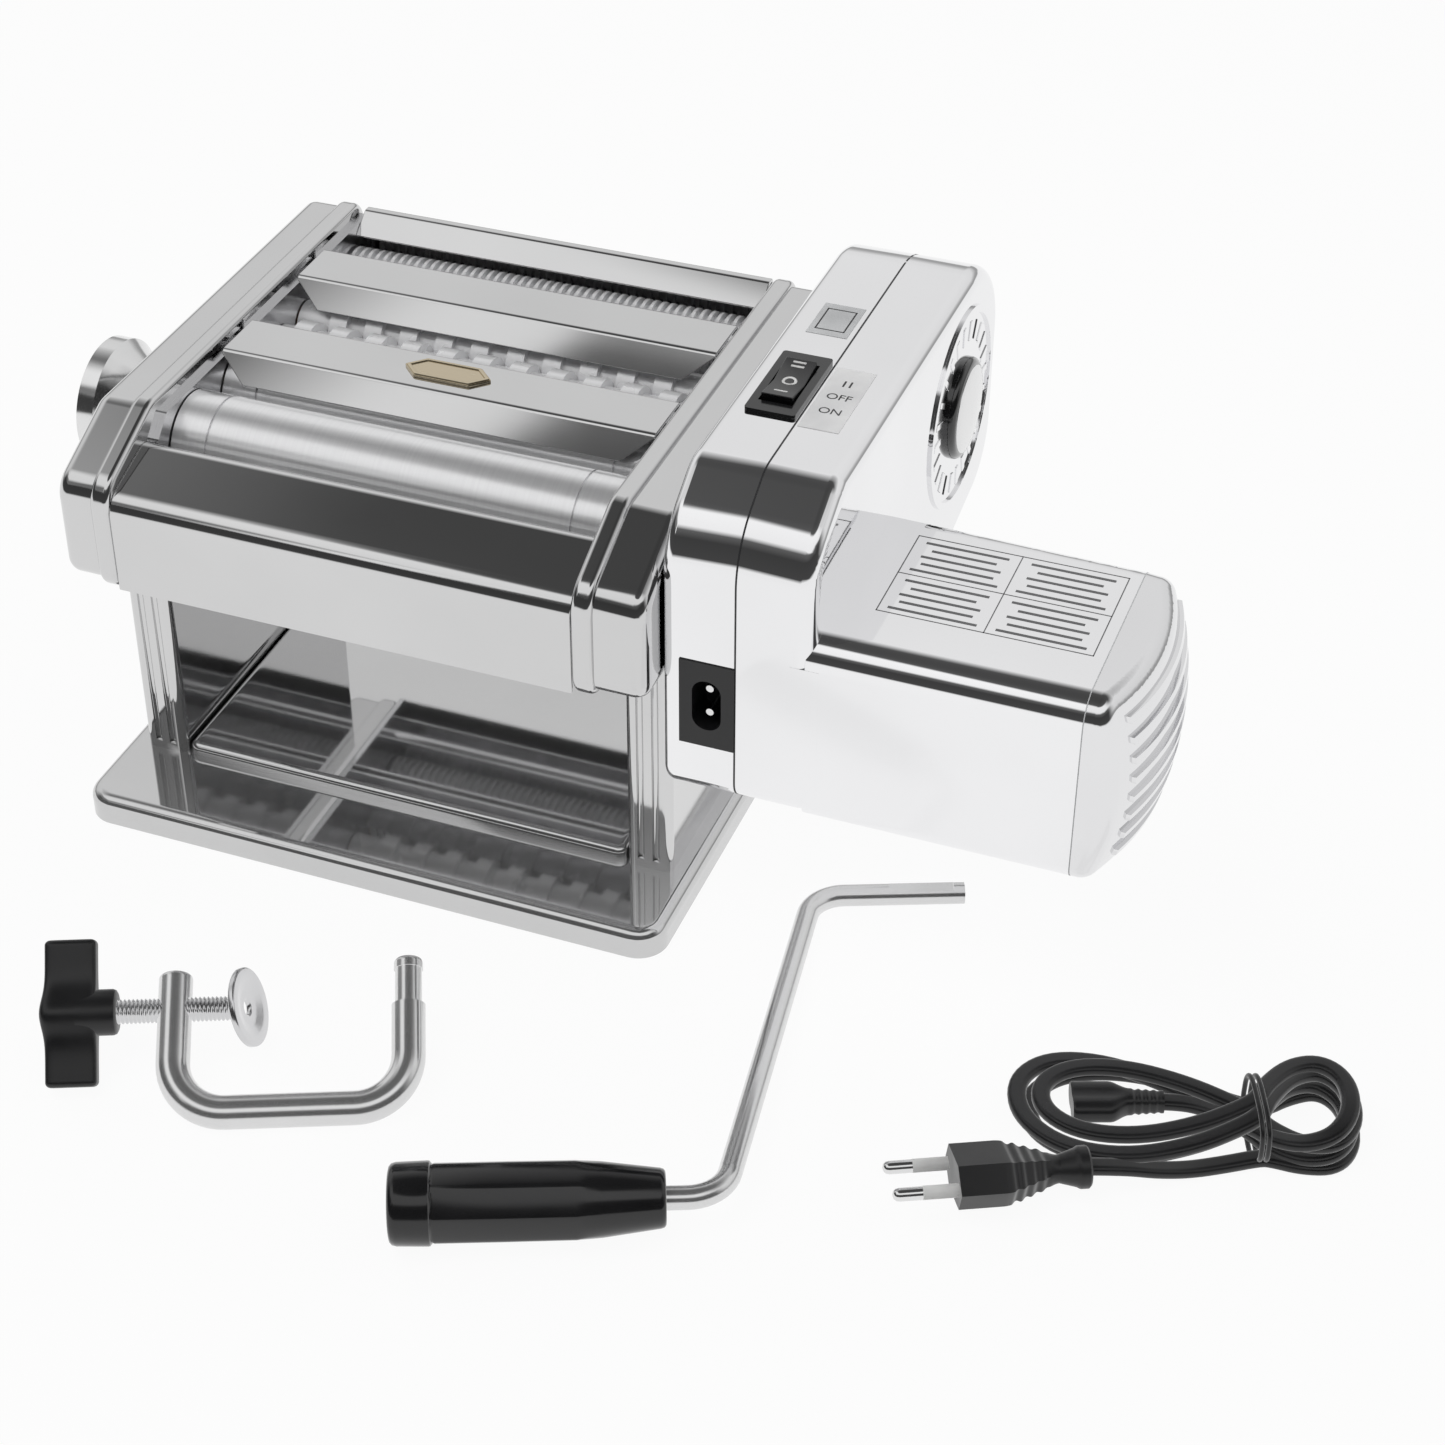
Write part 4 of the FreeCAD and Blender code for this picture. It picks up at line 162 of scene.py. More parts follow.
def piece(name, points, faces, material, body, smooth=True, closed=True):
    """Makes a mesh object from whole arrays of points (mm) and faces, paints it and lets it ride on a
    body. A closed shape has its faces turned outwards."""
    mesh = bpy.data.meshes.new(name)
    mesh.from_pydata((np.asarray(points).reshape(-1, 3) * MM).tolist(), [], [list(face) for face in faces])
    mesh.validate()
    if closed:
        shell = bmesh.new()
        shell.from_mesh(mesh)
        bmesh.ops.recalc_face_normals(shell, faces=shell.faces)
        shell.to_mesh(mesh)
        shell.free()
    mesh.polygons.foreach_set("use_smooth", np.full(len(mesh.polygons), smooth))
    if smooth:
        mesh.set_sharp_from_angle(angle=SHARP_EDGE)
    mesh.materials.append(material)
    obj = bpy.data.objects.new(name, mesh)
    bpy.context.scene.collection.objects.link(obj)
    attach(obj, body)
    return obj


def grid_faces(rows, columns, closed_rows=False, closed_columns=True):
    """Quads of a grid of points; a closed direction joins its last line to its first."""
    r = np.arange(rows if closed_rows else rows - 1)[:, None]
    c = np.arange(columns if closed_columns else columns - 1)[None, :]
    r2 = (r + 1) % rows
    c2 = (c + 1) % columns
    corners = [r * columns + c, r2 * columns + c, r2 * columns + c2, r * columns + c2]
    return np.stack(np.broadcast_arrays(*corners), axis=-1).reshape(-1, 4).tolist()


def skin(rings):
    """Faces over a stack of closed rings (rows by columns by 3), with flat caps at its ends."""
    rows, columns = rings.shape[:2]
    first_cap = list(range(columns))
    last_cap = list(range(rows * columns - 1, (rows - 1) * columns - 1, -1))
    return grid_faces(rows, columns) + [first_cap, last_cap]


def carried(path, profile, reference):
    """Carries a closed profile along a path: each ring lies on the path's point, its first axis square to
    the path and to the reference direction, its second axis square to the path and to its first."""
    tangent = np.gradient(path, axis=0)
    tangent /= np.linalg.norm(tangent, axis=1)[:, None]
    side = np.cross(tangent, np.broadcast_to(reference, tangent.shape))
    side /= np.linalg.norm(side, axis=1)[:, None]
    top = np.cross(side, tangent)
    return path[:, None] + side[:, None] * profile[None, :, :1] + top[:, None] * profile[None, :, 1:]


def turned(along, radius, columns=48):
    """A turned shape on the x axis: the ring at each station has the given radius, a number or one for each
    angle."""
    angle = np.linspace(0.0, TURN, columns, endpoint=False)[None, :]
    radius = np.broadcast_to(np.asarray(radius, float).reshape(len(along), -1), (len(along), columns))
    x = np.broadcast_to(np.asarray(along, float)[:, None], radius.shape)
    return np.stack([x, radius * np.cos(angle), radius * np.sin(angle)], axis=-1)


def superellipse(half_width, half_height, power, columns=48):
    """Closed outline whose point at an angle is the cosine and sine raised to 2 / power, times the half
    sizes."""
    angle = np.linspace(0.0, TURN, columns, endpoint=False)
    c = np.cos(angle)
    s = np.sin(angle)
    return np.stack([half_width * np.sign(c) * np.abs(c) ** (2.0 / power),
                     half_height * np.sign(s) * np.abs(s) ** (2.0 / power)], axis=-1)


def merged(shapes):
    """One array of points and one list of faces from several (points, faces) shapes."""
    points = []
    faces = []
    for shape_points, shape_faces in shapes:
        first = sum(len(block) for block in points)
        faces += [[corner + first for corner in face] for face in shape_faces]
        points.append(np.asarray(shape_points, float).reshape(-1, 3))
    return np.vstack(points), faces


def slab(x0, x1, y0, y1, z0, z1):
    """A thin upright block: the corners of its rectangle at two heights."""
    ring = np.array([(x0, y0), (x1, y0), (x1, y1), (x0, y1)])
    rings = np.stack([np.column_stack([ring, np.full(4, z)]) for z in (z0, z1)])
    return rings, skin(rings)


def placed(points, *turns, at=(0.0, 0.0, 0.0)):
    """Turns points by (axis, degrees) pairs in order, then moves them."""
    points = np.asarray(points, float)
    for axis, degrees in turns:
        points = points @ np.array(Matrix.Rotation(math.radians(degrees), 3, axis)).T
    return points + np.asarray(at, float)


def smooth_step(value):
    """Rises from 0 to 1 as value goes from 0 to 1, level at both ends."""
    value = np.clip(value, 0.0, 1.0)
    return value * value * (3.0 - 2.0 * value)


def rise(value, start, end):
    """Rises from 0 to 1 as value goes from start to end, level at both ends."""
    return smooth_step((value - start) / (end - start))


def blend(pair, share):
    """Goes evenly from the first of a pair to the second."""
    return pair[0] + (pair[1] - pair[0]) * share


def stations(runs):
    """Places along a shape: runs of (first, last, count), one after the other."""
    return np.concatenate([np.linspace(*run) for run in runs])


def ribs(along, span, pitch):
    """Rises from 0 to 1 and falls back once in each pitch, by a cosine, within a span."""
    wave = 0.5 - 0.5 * np.cos((along - span[0]) * TURN / pitch)
    return np.where((along > span[0]) & (along < span[1]), wave, 0.0)


def round_edges(obj, width_mm, segments=2):
    """Rounds the edges of a piece by a live bevel."""
    bevel = obj.modifiers.new("edge", "BEVEL")
    bevel.width = width_mm * MM
    bevel.segments = segments
    return bevel


def soften(names, width_mm, segments=2):
    """Rounds the sharp edges of CAD nodes by a live weld, bevel and weighted normals."""
    for name in names:
        obj = NODES[name]
        weld = obj.modifiers.new("weld", "WELD")
        weld.merge_threshold = WELD_GAP * MM
        bevel = round_edges(obj, width_mm, segments)
        bevel.limit_method = "ANGLE"
        bevel.angle_limit = BEVEL_FROM
        bevel.use_clamp_overlap = True
        normals = obj.modifiers.new("normals", "WEIGHTED_NORMAL")
        normals.keep_sharp = False


def paint(names, material):
    """Gives CAD nodes a finish through their own material slots."""
    for name in names:
        slots = NODES[name].data.materials
        slots.clear()
        slots.append(material)


# Finishes

EVEN = (1.0, 1.0, 1.0)
TURNED_RINGS = (220.0, 1.0, 1.0)
BRUSHED = (1.0, 12.0, 1.0)
NOISE_SPAN = (0.3, 0.7)
METAL_DRIFT = 0.03
METAL_RELIEF = 0.02
METAL_GRAIN_SCALE = 4.0
PLASTIC_DRIFT = 0.15
PLASTIC_RELIEF = 0.03
PLASTIC_GLOSS_SCALE = 60.0
COAT_ROUGHNESS = 0.05


def new_finish(name, base, metallic, roughness, **sockets):
    """A principled finish; constants stay on the shader's own sockets."""
    material = bpy.data.materials.new(name)
    material.use_nodes = True
    shader = material.node_tree.nodes["Principled BSDF"]
    shader.inputs["Base Color"].default_value = (*base, 1.0)
    shader.inputs["Metallic"].default_value = metallic
    shader.inputs["Roughness"].default_value = roughness
    for socket, value in sockets.items():
        shader.inputs[socket.replace("_", " ")].default_value = value
    return material


def noise_of(material, scale, stretch=EVEN, detail=3.0):
    """A noise in Object coordinates, stretched along the axes by a Mapping node."""
    tree = material.node_tree
    coordinates = tree.nodes.new("ShaderNodeTexCoord")
    mapping = tree.nodes.new("ShaderNodeMapping")
    mapping.inputs["Scale"].default_value = stretch
    noise = tree.nodes.new("ShaderNodeTexNoise")
    noise.inputs["Scale"].default_value = scale
    noise.inputs["Detail"].default_value = detail
    tree.links.new(coordinates.outputs["Object"], mapping.inputs["Vector"])
    tree.links.new(mapping.outputs["Vector"], noise.inputs["Vector"])
    return noise.outputs["Fac"]


def vary_roughness(material, value, low, high):
    """Spreads the roughness between two values along a pattern."""
    tree = material.node_tree
    spread = tree.nodes.new("ShaderNodeMapRange")
    spread.inputs["From Min"].default_value = NOISE_SPAN[0]
    spread.inputs["From Max"].default_value = NOISE_SPAN[1]
    spread.inputs["To Min"].default_value = low
    spread.inputs["To Max"].default_value = high
    tree.links.new(value, spread.inputs["Value"])
    tree.links.new(spread.outputs["Result"], tree.nodes["Principled BSDF"].inputs["Roughness"])


def vary_colour(material, value, dark, light):
    """Blends the base colour between two tones along a pattern."""
    tree = material.node_tree
    ramp = tree.nodes.new("ShaderNodeValToRGB")
    for element, place, tone in zip(ramp.color_ramp.elements, NOISE_SPAN, (dark, light)):
        element.position = place
        element.color = (*tone, 1.0)
    tree.links.new(value, ramp.inputs["Fac"])
    tree.links.new(ramp.outputs["Color"], tree.nodes["Principled BSDF"].inputs["Base Color"])


def raise_grain(material, value, strength, distance_mm):
    """Turns a pattern into surface relief."""
    tree = material.node_tree
    bump = tree.nodes.new("ShaderNodeBump")
    bump.inputs["Strength"].default_value = strength
    bump.inputs["Distance"].default_value = distance_mm * MM
    tree.links.new(value, bump.inputs["Height"])
    tree.links.new(bump.outputs["Normal"], tree.nodes["Principled BSDF"].inputs["Normal"])


def shade(tone, factor):
    """A tone made lighter or darker."""
    return tuple(min(1.0, channel * factor) for channel in tone)


def metal(name, tone, low, high, scale, stretch=EVEN, grain=0.0, metallic=1.0):
    """A bare or plated metal: tone and roughness drift with a noise, and grain adds fine relief."""
    material = new_finish(name, tone, metallic, low)
    pattern = noise_of(material, scale, stretch)
    vary_roughness(material, pattern, low, high)
    vary_colour(material, pattern, shade(tone, 1.0 - METAL_DRIFT), shade(tone, 1.0 + METAL_DRIFT))
    if grain:
        relief = noise_of(material, scale * METAL_GRAIN_SCALE, stretch, detail=2.0)
        raise_grain(material, relief, grain, METAL_RELIEF)
    return material


def moulded(name, tone, low, high, grain, scale=900.0, coat=0.0):
    """A moulded plastic: fine grain relief, uneven gloss, and a clear coat where it is polished."""
    material = new_finish(name, tone, 0.0, low, Coat_Weight=coat, Coat_Roughness=COAT_ROUGHNESS)
    pattern = noise_of(material, PLASTIC_GLOSS_SCALE)
    vary_roughness(material, pattern, low, high)
    vary_colour(material, pattern, shade(tone, 1.0 - PLASTIC_DRIFT), shade(tone, 1.0 + PLASTIC_DRIFT))
    raise_grain(material, noise_of(material, scale), grain, PLASTIC_RELIEF)
    return material


def finish(name):
    """The named finish, made from the finishes' colours the first time it is asked for. A row of the table
    gives its maker, its tone, its least and greatest roughness, and what else the maker takes."""
    if name in bpy.data.materials and bpy.data.materials[name].get("roller_finish"):
        return bpy.data.materials[name]
    tones = bpy.context.scene.roller_finishes
    table = {
        "polished_steel": (metal, tones.sheet, 0.05, 0.09, {"scale": 14.0}),
        "base_steel": (metal, tones.sheet, 0.03, 0.05, {"scale": 14.0, "metallic": 0.85}),
        "bright_plating": (metal, tones.plating, 0.03, 0.06, {"scale": 9.0}),
        # Painted shade: a darker copy of the motor plating makes the end cap greyer than the box, in place of
        # its greyer reflections
        "cap_plating": (metal, shade(tones.plating, 0.9), 0.03, 0.06, {"scale": 9.0}),
        "plated_rod": (metal, tones.rod, 0.10, 0.15, {"scale": 40.0}),
        "satin_rod": (metal, tones.rod, 0.17, 0.22, {"scale": 40.0, "metallic": 0.85}),
        "spun_silver": (metal, tones.rod, 0.16, 0.24, {"scale": 30.0}),
        "turned_alloy": (metal, tones.roller, 0.17, 0.21,
                         {"scale": 6.0, "stretch": TURNED_RINGS, "grain": 0.02, "metallic": 0.6}),
        "cutter_steel": (metal, tones.cutter, 0.22, 0.30, {"scale": 60.0, "metallic": 0.25}),
        "machined_steel": (metal, tones.gear, 0.28, 0.42, {"scale": 120.0, "grain": 0.1}),
        "lamination_steel": (metal, tones.gear, 0.35, 0.5,
                             {"scale": 6.0, "stretch": TURNED_RINGS, "grain": 0.3}),
        "zinc_plate": (metal, tones.zinc, 0.12, 0.24, {"scale": 70.0, "grain": 0.05}),
        "sintered_bronze": (metal, tones.bronze, 0.3, 0.45, {"scale": 300.0, "grain": 0.2}),
        "champagne_gold": (metal, tones.gold, 0.18, 0.28, {"scale": 50.0, "stretch": BRUSHED}),
        "winding_copper": (metal, tones.copper, 0.25, 0.4, {"scale": 150.0}),
        "glossy_black": (moulded, tones.black, 0.12, 0.18, {"grain": 0.01, "coat": 0.15}),
        "satin_black": (moulded, tones.black, 0.30, 0.42, {"grain": 0.10}),
        "cord_black": (moulded, tones.black, 0.26, 0.38, {"grain": 0.05, "scale": 500.0}),
        "dark_enamel": (moulded, shade(tones.black, 0.7), 0.08, 0.12, {"grain": 0.01, "coat": 0.8}),
        "pale_nylon": (moulded, tones.nylon, 0.4, 0.5, {"grain": 0.08}),
        # Sticker foil, and also the painted shade in the seam between the motor box and its end cap
        "silver_foil": (moulded, tones.sticker, 0.4, 0.5, {"grain": 0.04}),
        "legend_film": (moulded, tones.film, 0.3, 0.4, {"grain": 0.02}),
        "white_print": (moulded, tones.print_white, 0.4, 0.5, {"grain": 0.03}),
        "grey_print": (moulded, tones.print_grey, 0.35, 0.45, {"grain": 0.03}),
        # Black print, and also the painted shadow along the parting of the gear case
        "black_print": (moulded, shade(tones.black, 2.0), 0.4, 0.5, {"grain": 0.03}),
    }
    make, tone, low, high, rest = table[name]
    material = make(name, tone, low, high, **rest)
    material["roller_finish"] = True
    return material


# Body

SHEET_EDGE = 0.35
KNOB_EDGE = 0.5


class BODY_OT_sheetwork(bpy.types.Operator):
    """Polishes the sheet-metal body, its base and its covers"""
    bl_idname = "roller.sheetwork"
    bl_label = "Sheet-metal body"

    def execute(self, context):
        sheets = ["left_leg", "right_leg", "left_side_plate", "right_side_plate", "left_side_cover",
                  "right_side_cover", "front_apron", "middle_plate", "rear_plate", "back_plate"]
        trays = ["base_tray", "catch_pan", "floor_plate"]
        paint(sheets, finish("polished_steel"))
        paint(trays, finish("base_steel"))
        soften(sheets + ["base_tray", "catch_pan"], SHEET_EDGE)
        paint(["foot_screws"], finish("machined_steel"))
        paint(["dough_cheeks", "roller_scrapers", "cutter_combs", "tie_rods"], finish("zinc_plate"))
        paint(["shaft_bushes"], finish("sintered_bronze"))
        return {"FINISHED"}


class BODY_OT_rollers(bpy.types.Operator):
    """Gives rollers and cutters their satin turned alloy, and their gears plain steel"""
    bl_idname = "roller.rollers"
    bl_label = "Rollers and cutters"

    def execute(self, context):
        paint(["front_roller", "rear_roller"], finish("turned_alloy"))
        cutters = ["wide_cutter_front", "wide_cutter_rear", "fine_cutter_front", "fine_cutter_rear"]
        paint(cutters, finish("cutter_steel"))
        paint(["front_roller_gear", "rear_roller_gear"], finish("machined_steel"))
        paint(["sliding_bearings"], finish("pale_nylon"))
        return {"FINISHED"}


DIAL_AXIS = (-13.65, 115.5)
SPRING_FROM = -115.57
SPRING_LENGTH = 8.84
SPRING_R = 7.2
SPRING_WIRE_R = 0.6
SPRING_TURNS = 4.0
SPRING_STEPS = 130
SPRING_SIDES = 8


def wound_spring():
    """Wound spring on the dial's axis: the wire's centre turns round the axis at one radius while it moves
    evenly along, and a circle stands on it in the plane of the axis."""
    share = np.linspace(0.0, 1.0, SPRING_STEPS)[:, None]
    turn = share * SPRING_TURNS * TURN
    angle = np.linspace(0.0, TURN, SPRING_SIDES, endpoint=False)[None, :]
    radius = SPRING_R + SPRING_WIRE_R * np.cos(angle)
    along = SPRING_FROM + SPRING_LENGTH * share + SPRING_WIRE_R * np.sin(angle)
    across = DIAL_AXIS[0] + radius * np.cos(turn)
    return np.stack([along, across, DIAL_AXIS[1] + radius * np.sin(turn)], axis=-1)


class BODY_OT_dial(bpy.types.Operator):
    """Plates the thickness knob and its shaft, and winds the spring that gives as the knob is pulled"""
    bl_idname = "roller.dial"
    bl_label = "Thickness dial"

    def execute(self, context):
        paint(["thickness_knob"], finish("plated_rod"))
        soften(["thickness_knob"], KNOB_EDGE, segments=3)
        paint(["dial_shaft"], finish("machined_steel"))
        rings = wound_spring()
        spring = piece("wound_spring", rings, skin(rings), finish("machined_steel"), "dial")
        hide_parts("knob_spring")
        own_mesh(spring)
        return {"FINISHED"}


BADGE_AT = (0.0, -5.8)
BADGE_HALF = (15.0, 5.5)
BADGE_LIFTS = (146.6, 147.15)
BADGE_MARGIN = 0.3
BADGE_RIM = 1.2
BADGE_EDGE = 0.25
BADGE_RIM_EDGE = 0.2


def badge_outline(inset):
    """Hexagon with its points at the two ends of the badge and its slopes at 45 degrees, moved inwards."""
    half_x = BADGE_HALF[0] - inset * math.sqrt(2.0)
    half_y = BADGE_HALF[1] - inset
    flat = half_x - half_y
    x = (half_x, flat, -flat, -half_x, -flat, flat)
    y = (0.0, half_y, half_y, 0.0, -half_y, -half_y)
    return np.column_stack([x, y]) + BADGE_AT


def badge_rim():
    """Raised edge of the badge: a closed band between two hexagons, from within the plate to above it."""
    low, high = BADGE_LIFTS
    outer = badge_outline(BADGE_MARGIN)
    inner = badge_outline(BADGE_MARGIN + BADGE_RIM)
    section = ((outer, low), (outer, high), (inner, high), (inner, low))
    sides = [np.column_stack([outline, np.full(len(outline), lift)]) for outline, lift in section]
    return np.stack(sides, axis=1), grid_faces(len(outer), len(sides), closed_rows=True)


class BODY_OT_badge_plate(bpy.types.Operator):
    """Gives the badge on the middle plate its gold tone and its raised rim"""
    bl_idname = "roller.badge_plate"
    bl_label = "Plate badge"

    def execute(self, context):
        paint(["badge_plate"], finish("champagne_gold"))
        soften(["badge_plate"], BADGE_EDGE)
        rim = piece("badge_rim", *badge_rim(), finish("champagne_gold"), "frame", smooth=False)
        round_edges(rim, BADGE_RIM_EDGE)
        return {"FINISHED"}


# Motor

CASE_FRONT = -77.0
CASE_BACK = 111.0
CASE_FLOOR = 60.0
SLAB_TOP = 166.0
SLAB_SIDE_X = 147.7
BOX_BACK = 0.5
BOX_TOP = 124.7
PARTING_X = 123.7
SEAM_X = 227.7
PARTING_HALF = 0.28
SEAM_HALF = 0.16
SEAM_DEPTHS = (0.6, -0.07)
SEAM_BACK = CASE_BACK - 0.02
CASE_EDGE = 0.4
INLET_EDGE = 0.3
# Corners of the gear case and of the motor box, seen along x: y, z and the radius there
SLAB_CORNERS = ((CASE_FRONT, CASE_FLOOR, 8.0), (17.0, CASE_FLOOR, 20.0), (CASE_BACK, 80.0, 24.0),
                (CASE_BACK, SLAB_TOP, 33.0), (-53.0, SLAB_TOP, 14.0), (CASE_FRONT, 151.6, 24.0))
BOX_CORNERS = ((CASE_FRONT, CASE_FLOOR, 6.0), (BOX_BACK, CASE_FLOOR, 6.0), (BOX_BACK, BOX_TOP, 9.0),
               (CASE_FRONT, BOX_TOP, 9.0))
LAND_X = (140.5, 149.5)
LAND_Y = (CASE_FRONT - 0.03, CASE_FRONT + 0.8)
LAND_Z = (68.0, 115.6)


def rounded_outline(corners, inset, steps=12):
    """Closed outline of a convex shape, moved inwards: at each corner an arc about the point that lies the
    corner's radius from both its sides, with the inset taken off the radius."""
    points = np.array(corners)[:, :2]
    radius = np.array(corners)[:, 2:]
    before = np.roll(points, 1, axis=0) - points
    after = np.roll(points, -1, axis=0) - points
    before /= np.linalg.norm(before, axis=1)[:, None]
    after /= np.linalg.norm(after, axis=1)[:, None]
    half = np.arccos(np.sum(before * after, axis=1))[:, None] / 2.0
    middle = (before + after) / np.linalg.norm(before + after, axis=1)[:, None]
    centre = points + middle * radius / np.sin(half)
    start = points + before * radius / np.tan(half) - centre
    first = np.arctan2(start[:, 1], start[:, 0])[:, None]
    sweep = (math.pi - 2.0 * half) * np.linspace(0.0, 1.0, steps)[None, :]
    angle = first + sweep
    arm = radius - inset
    arcs = centre[:, None] + np.stack([arm * np.cos(angle), arm * np.sin(angle)], axis=-1)
    return arcs.reshape(-1, 2)


def painted_seam_shadow(corners, x, half):
    """Dark line along a parting: a narrow closed band round the outline, from below its surface to just
    over it, kept flat at the back."""
    deep, proud = [rounded_outline(corners, inset) for inset in SEAM_DEPTHS]
    proud[:, 0] = np.minimum(proud[:, 0], SEAM_BACK)
    section = ((x - half, deep), (x + half, deep), (x + half, proud), (x - half, proud))
    sides = [np.column_stack([np.full(len(outline), place), outline]) for place, outline in section]
    return np.stack(sides, axis=1), grid_faces(len(deep), len(sides), closed_rows=True)


class MOTOR_OT_housing(bpy.types.Operator):
    """Plates the motor housing, draws its partings and finishes what is inside it"""
    bl_idname = "roller.motor_housing"
    bl_label = "Motor housing"

    def execute(self, context):
        paint(["gear_case", "motor_case"], finish("bright_plating"))
        # The end cap gets a darker copy of the plating, painted shade in place of its greyer reflections
        paint(["end_cap"], finish("cap_plating"))
        soften(["gear_case", "motor_case", "end_cap"], CASE_EDGE)
        # Painted shadow: a black band in place of the shade in the parting between the two case halves
        parting = painted_seam_shadow(SLAB_CORNERS, PARTING_X, PARTING_HALF)
        piece("case_parting_shadow", *parting, finish("black_print"), "motor")
        # Painted shade: a grey band in place of the shade in the groove between the motor box and its end cap
        seam = painted_seam_shadow(BOX_CORNERS, SEAM_X, SEAM_HALF)
        piece("cap_seam_shade", *seam, finish("silver_foil"), "motor")
        land = slab(*LAND_X, *LAND_Y, *LAND_Z)
        piece("case_land", *land, finish("bright_plating"), "motor", smooth=False)
        paint(["case_screws", "motor_bearings", "output_gear"], finish("machined_steel"))
        paint(["stator"], finish("lamination_steel"))
        paint(["armature"], finish("winding_copper"))
        paint(["cooling_fan", "first_idler", "second_idler"], finish("pale_nylon"))
        paint(["inlet_socket"], finish("satin_black"))
        paint(["inlet_pins"], finish("plated_rod"))
        soften(["inlet_socket"], INLET_EDGE)
        return {"FINISHED"}


SWITCH_X = 114.7
ROCKER_Y = -7.0
ROCKER_HALF = 11.5
ROCKER_DIP_Z = 167.4
ROCKER_END_Z = 169.2
ROCKER_EDGE = 0.4
PRINT_SINK = 0.05
INK_LIFT = 0.03
INK_FILM = 0.06
STROKES_OFF = (9.6, 7.6, -7.6)
STROKE_HALF = 2.1
STROKE_POINTS = 7
RING_OFF = 0.2
RING_R = 1.9
RING_POINTS = 32
LEGEND_X = (124.6, 137.4)
LEGEND_Y = (-28.0, 8.6)
WORDS_X = 131.0
WORDS = (("switch_word_off", "OFF", -8.5), ("switch_word_on", "ON", -17.0))
WORD_DEPTH = 0.02
BAR_PAIR_X = (129.7, 131.7)
BAR_PAIR_Y = (-2.0, 1.4)
BAR_PAIR_WIDTH = 0.6
BAR_PAIR_LIFT = 0.04


def on_rocker(x, y):
    """Points just above the rocker: its height rises evenly from the dip in its middle to both ends."""
    height = blend((ROCKER_DIP_Z, ROCKER_END_Z), np.abs(y - ROCKER_Y) / ROCKER_HALF)
    return np.stack([x, y, height + INK_LIFT], axis=-1)


def rocker_bar(middle_y, width):
    """A straight stroke across the rocker: a grid of two edges by a few points."""
    edges = middle_y + np.array([0.5, -0.5]) * width
    run = SWITCH_X + np.linspace(-STROKE_HALF, STROKE_HALF, STROKE_POINTS)
    y, x = np.meshgrid(edges, run, indexing="ij")
    return on_rocker(x, y), grid_faces(len(edges), STROKE_POINTS, closed_columns=False)


def rocker_ring(middle_y, radius, width):
    """A round stroke on the rocker: two circles joined by quads."""
    angle = np.linspace(0.0, TURN, RING_POINTS, endpoint=False)
    reach = radius + np.array([[-0.5], [0.5]]) * width
    x = SWITCH_X + reach * np.cos(angle)
    y = middle_y + reach * np.sin(angle)
    return on_rocker(x, y), grid_faces(len(reach), RING_POINTS)


def word(name, text, at, height, material, body):
    """A printed word: a text curve made a mesh, then moved to its place."""
    curve = bpy.data.curves.new(name, "FONT")
    curve.body = text
    curve.size = height
    curve.align_x = "CENTER"
    curve.align_y = "CENTER"
    curve.extrude = WORD_DEPTH * MM
    holder = bpy.data.objects.new(name + "_text", curve)
    bpy.context.scene.collection.objects.link(holder)
    mesh = bpy.data.meshes.new_from_object(holder)
    bpy.data.objects.remove(holder)
    bpy.data.curves.remove(curve)
    mesh.transform(Matrix.Translation(Vector(at) * MM))
    mesh.materials.clear()
    mesh.materials.append(material)
    obj = bpy.data.objects.new(name, mesh)
    bpy.context.scene.collection.objects.link(obj)
    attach(obj, body)
    return obj


def line_frame(x0, x1, y0, y1, z0, z1, width):
    """Four thin blocks round a rectangle."""
    return [slab(x0, x1, y0, y0 + width, z0, z1), slab(x0, x1, y1 - width, y1, z0, z1),
            slab(x0, x0 + width, y0, y1, z0, z1), slab(x1 - width, x1, y0, y1, z0, z1)]


class MOTOR_OT_switch(bpy.types.Operator):
    """Finishes the switch and prints its strokes and the words beside it"""
    bl_idname = "roller.switch"
    bl_label = "Switch"

    def execute(self, context):
        sizes = context.scene.mark_sizes
        paint(["switch_body", "switch_rocker"], finish("glossy_black"))
        soften(["switch_body"], KNOB_EDGE, segments=3)
        soften(["switch_rocker"], ROCKER_EDGE, segments=3)
        stroke = sizes.bar / MM
        strokes = [rocker_bar(ROCKER_Y + off, stroke) for off in STROKES_OFF]
        strokes.append(rocker_ring(ROCKER_Y + RING_OFF, RING_R, stroke))
        marks = piece("rocker_strokes", *merged(strokes), finish("white_print"), "rocker", closed=False)
        ink_film = marks.modifiers.new("film", "SOLIDIFY")
        ink_film.thickness = INK_FILM * MM
        top = SLAB_TOP + sizes.foil / MM
        legend = slab(*LEGEND_X, *LEGEND_Y, SLAB_TOP - PRINT_SINK, top)
        piece("switch_foil", *legend, finish("legend_film"), "motor", smooth=False)
        ink = finish("black_print")
        for name, text, y in WORDS:
            place = (WORDS_X, y, top + INK_LIFT)
            word(name, text, place, sizes.letter, ink, "motor")
        heights = (top - PRINT_SINK, top + BAR_PAIR_LIFT)
        bars = [slab(x, x + BAR_PAIR_WIDTH, *BAR_PAIR_Y, *heights) for x in BAR_PAIR_X]
        piece("switch_word_two", *merged(bars), ink, "motor", smooth=False)
        return {"FINISHED"}


STICKER_X = (108.4, 121.8)
STICKER_Y = (26.0, 45.6)
BORDER_X = (110.2, 120.0)
BORDER_Y = (29.0, 42.6)
BORDER_LINE = 0.5
LABEL_X = (158.5, 224.0)
LABEL_Y = (-53.0, -10.5)
LABEL_LIFT = 0.05
LABEL_LINE = 0.35
LABEL_CROSS_HALF = 0.17
LABEL_MARGIN = 2.0
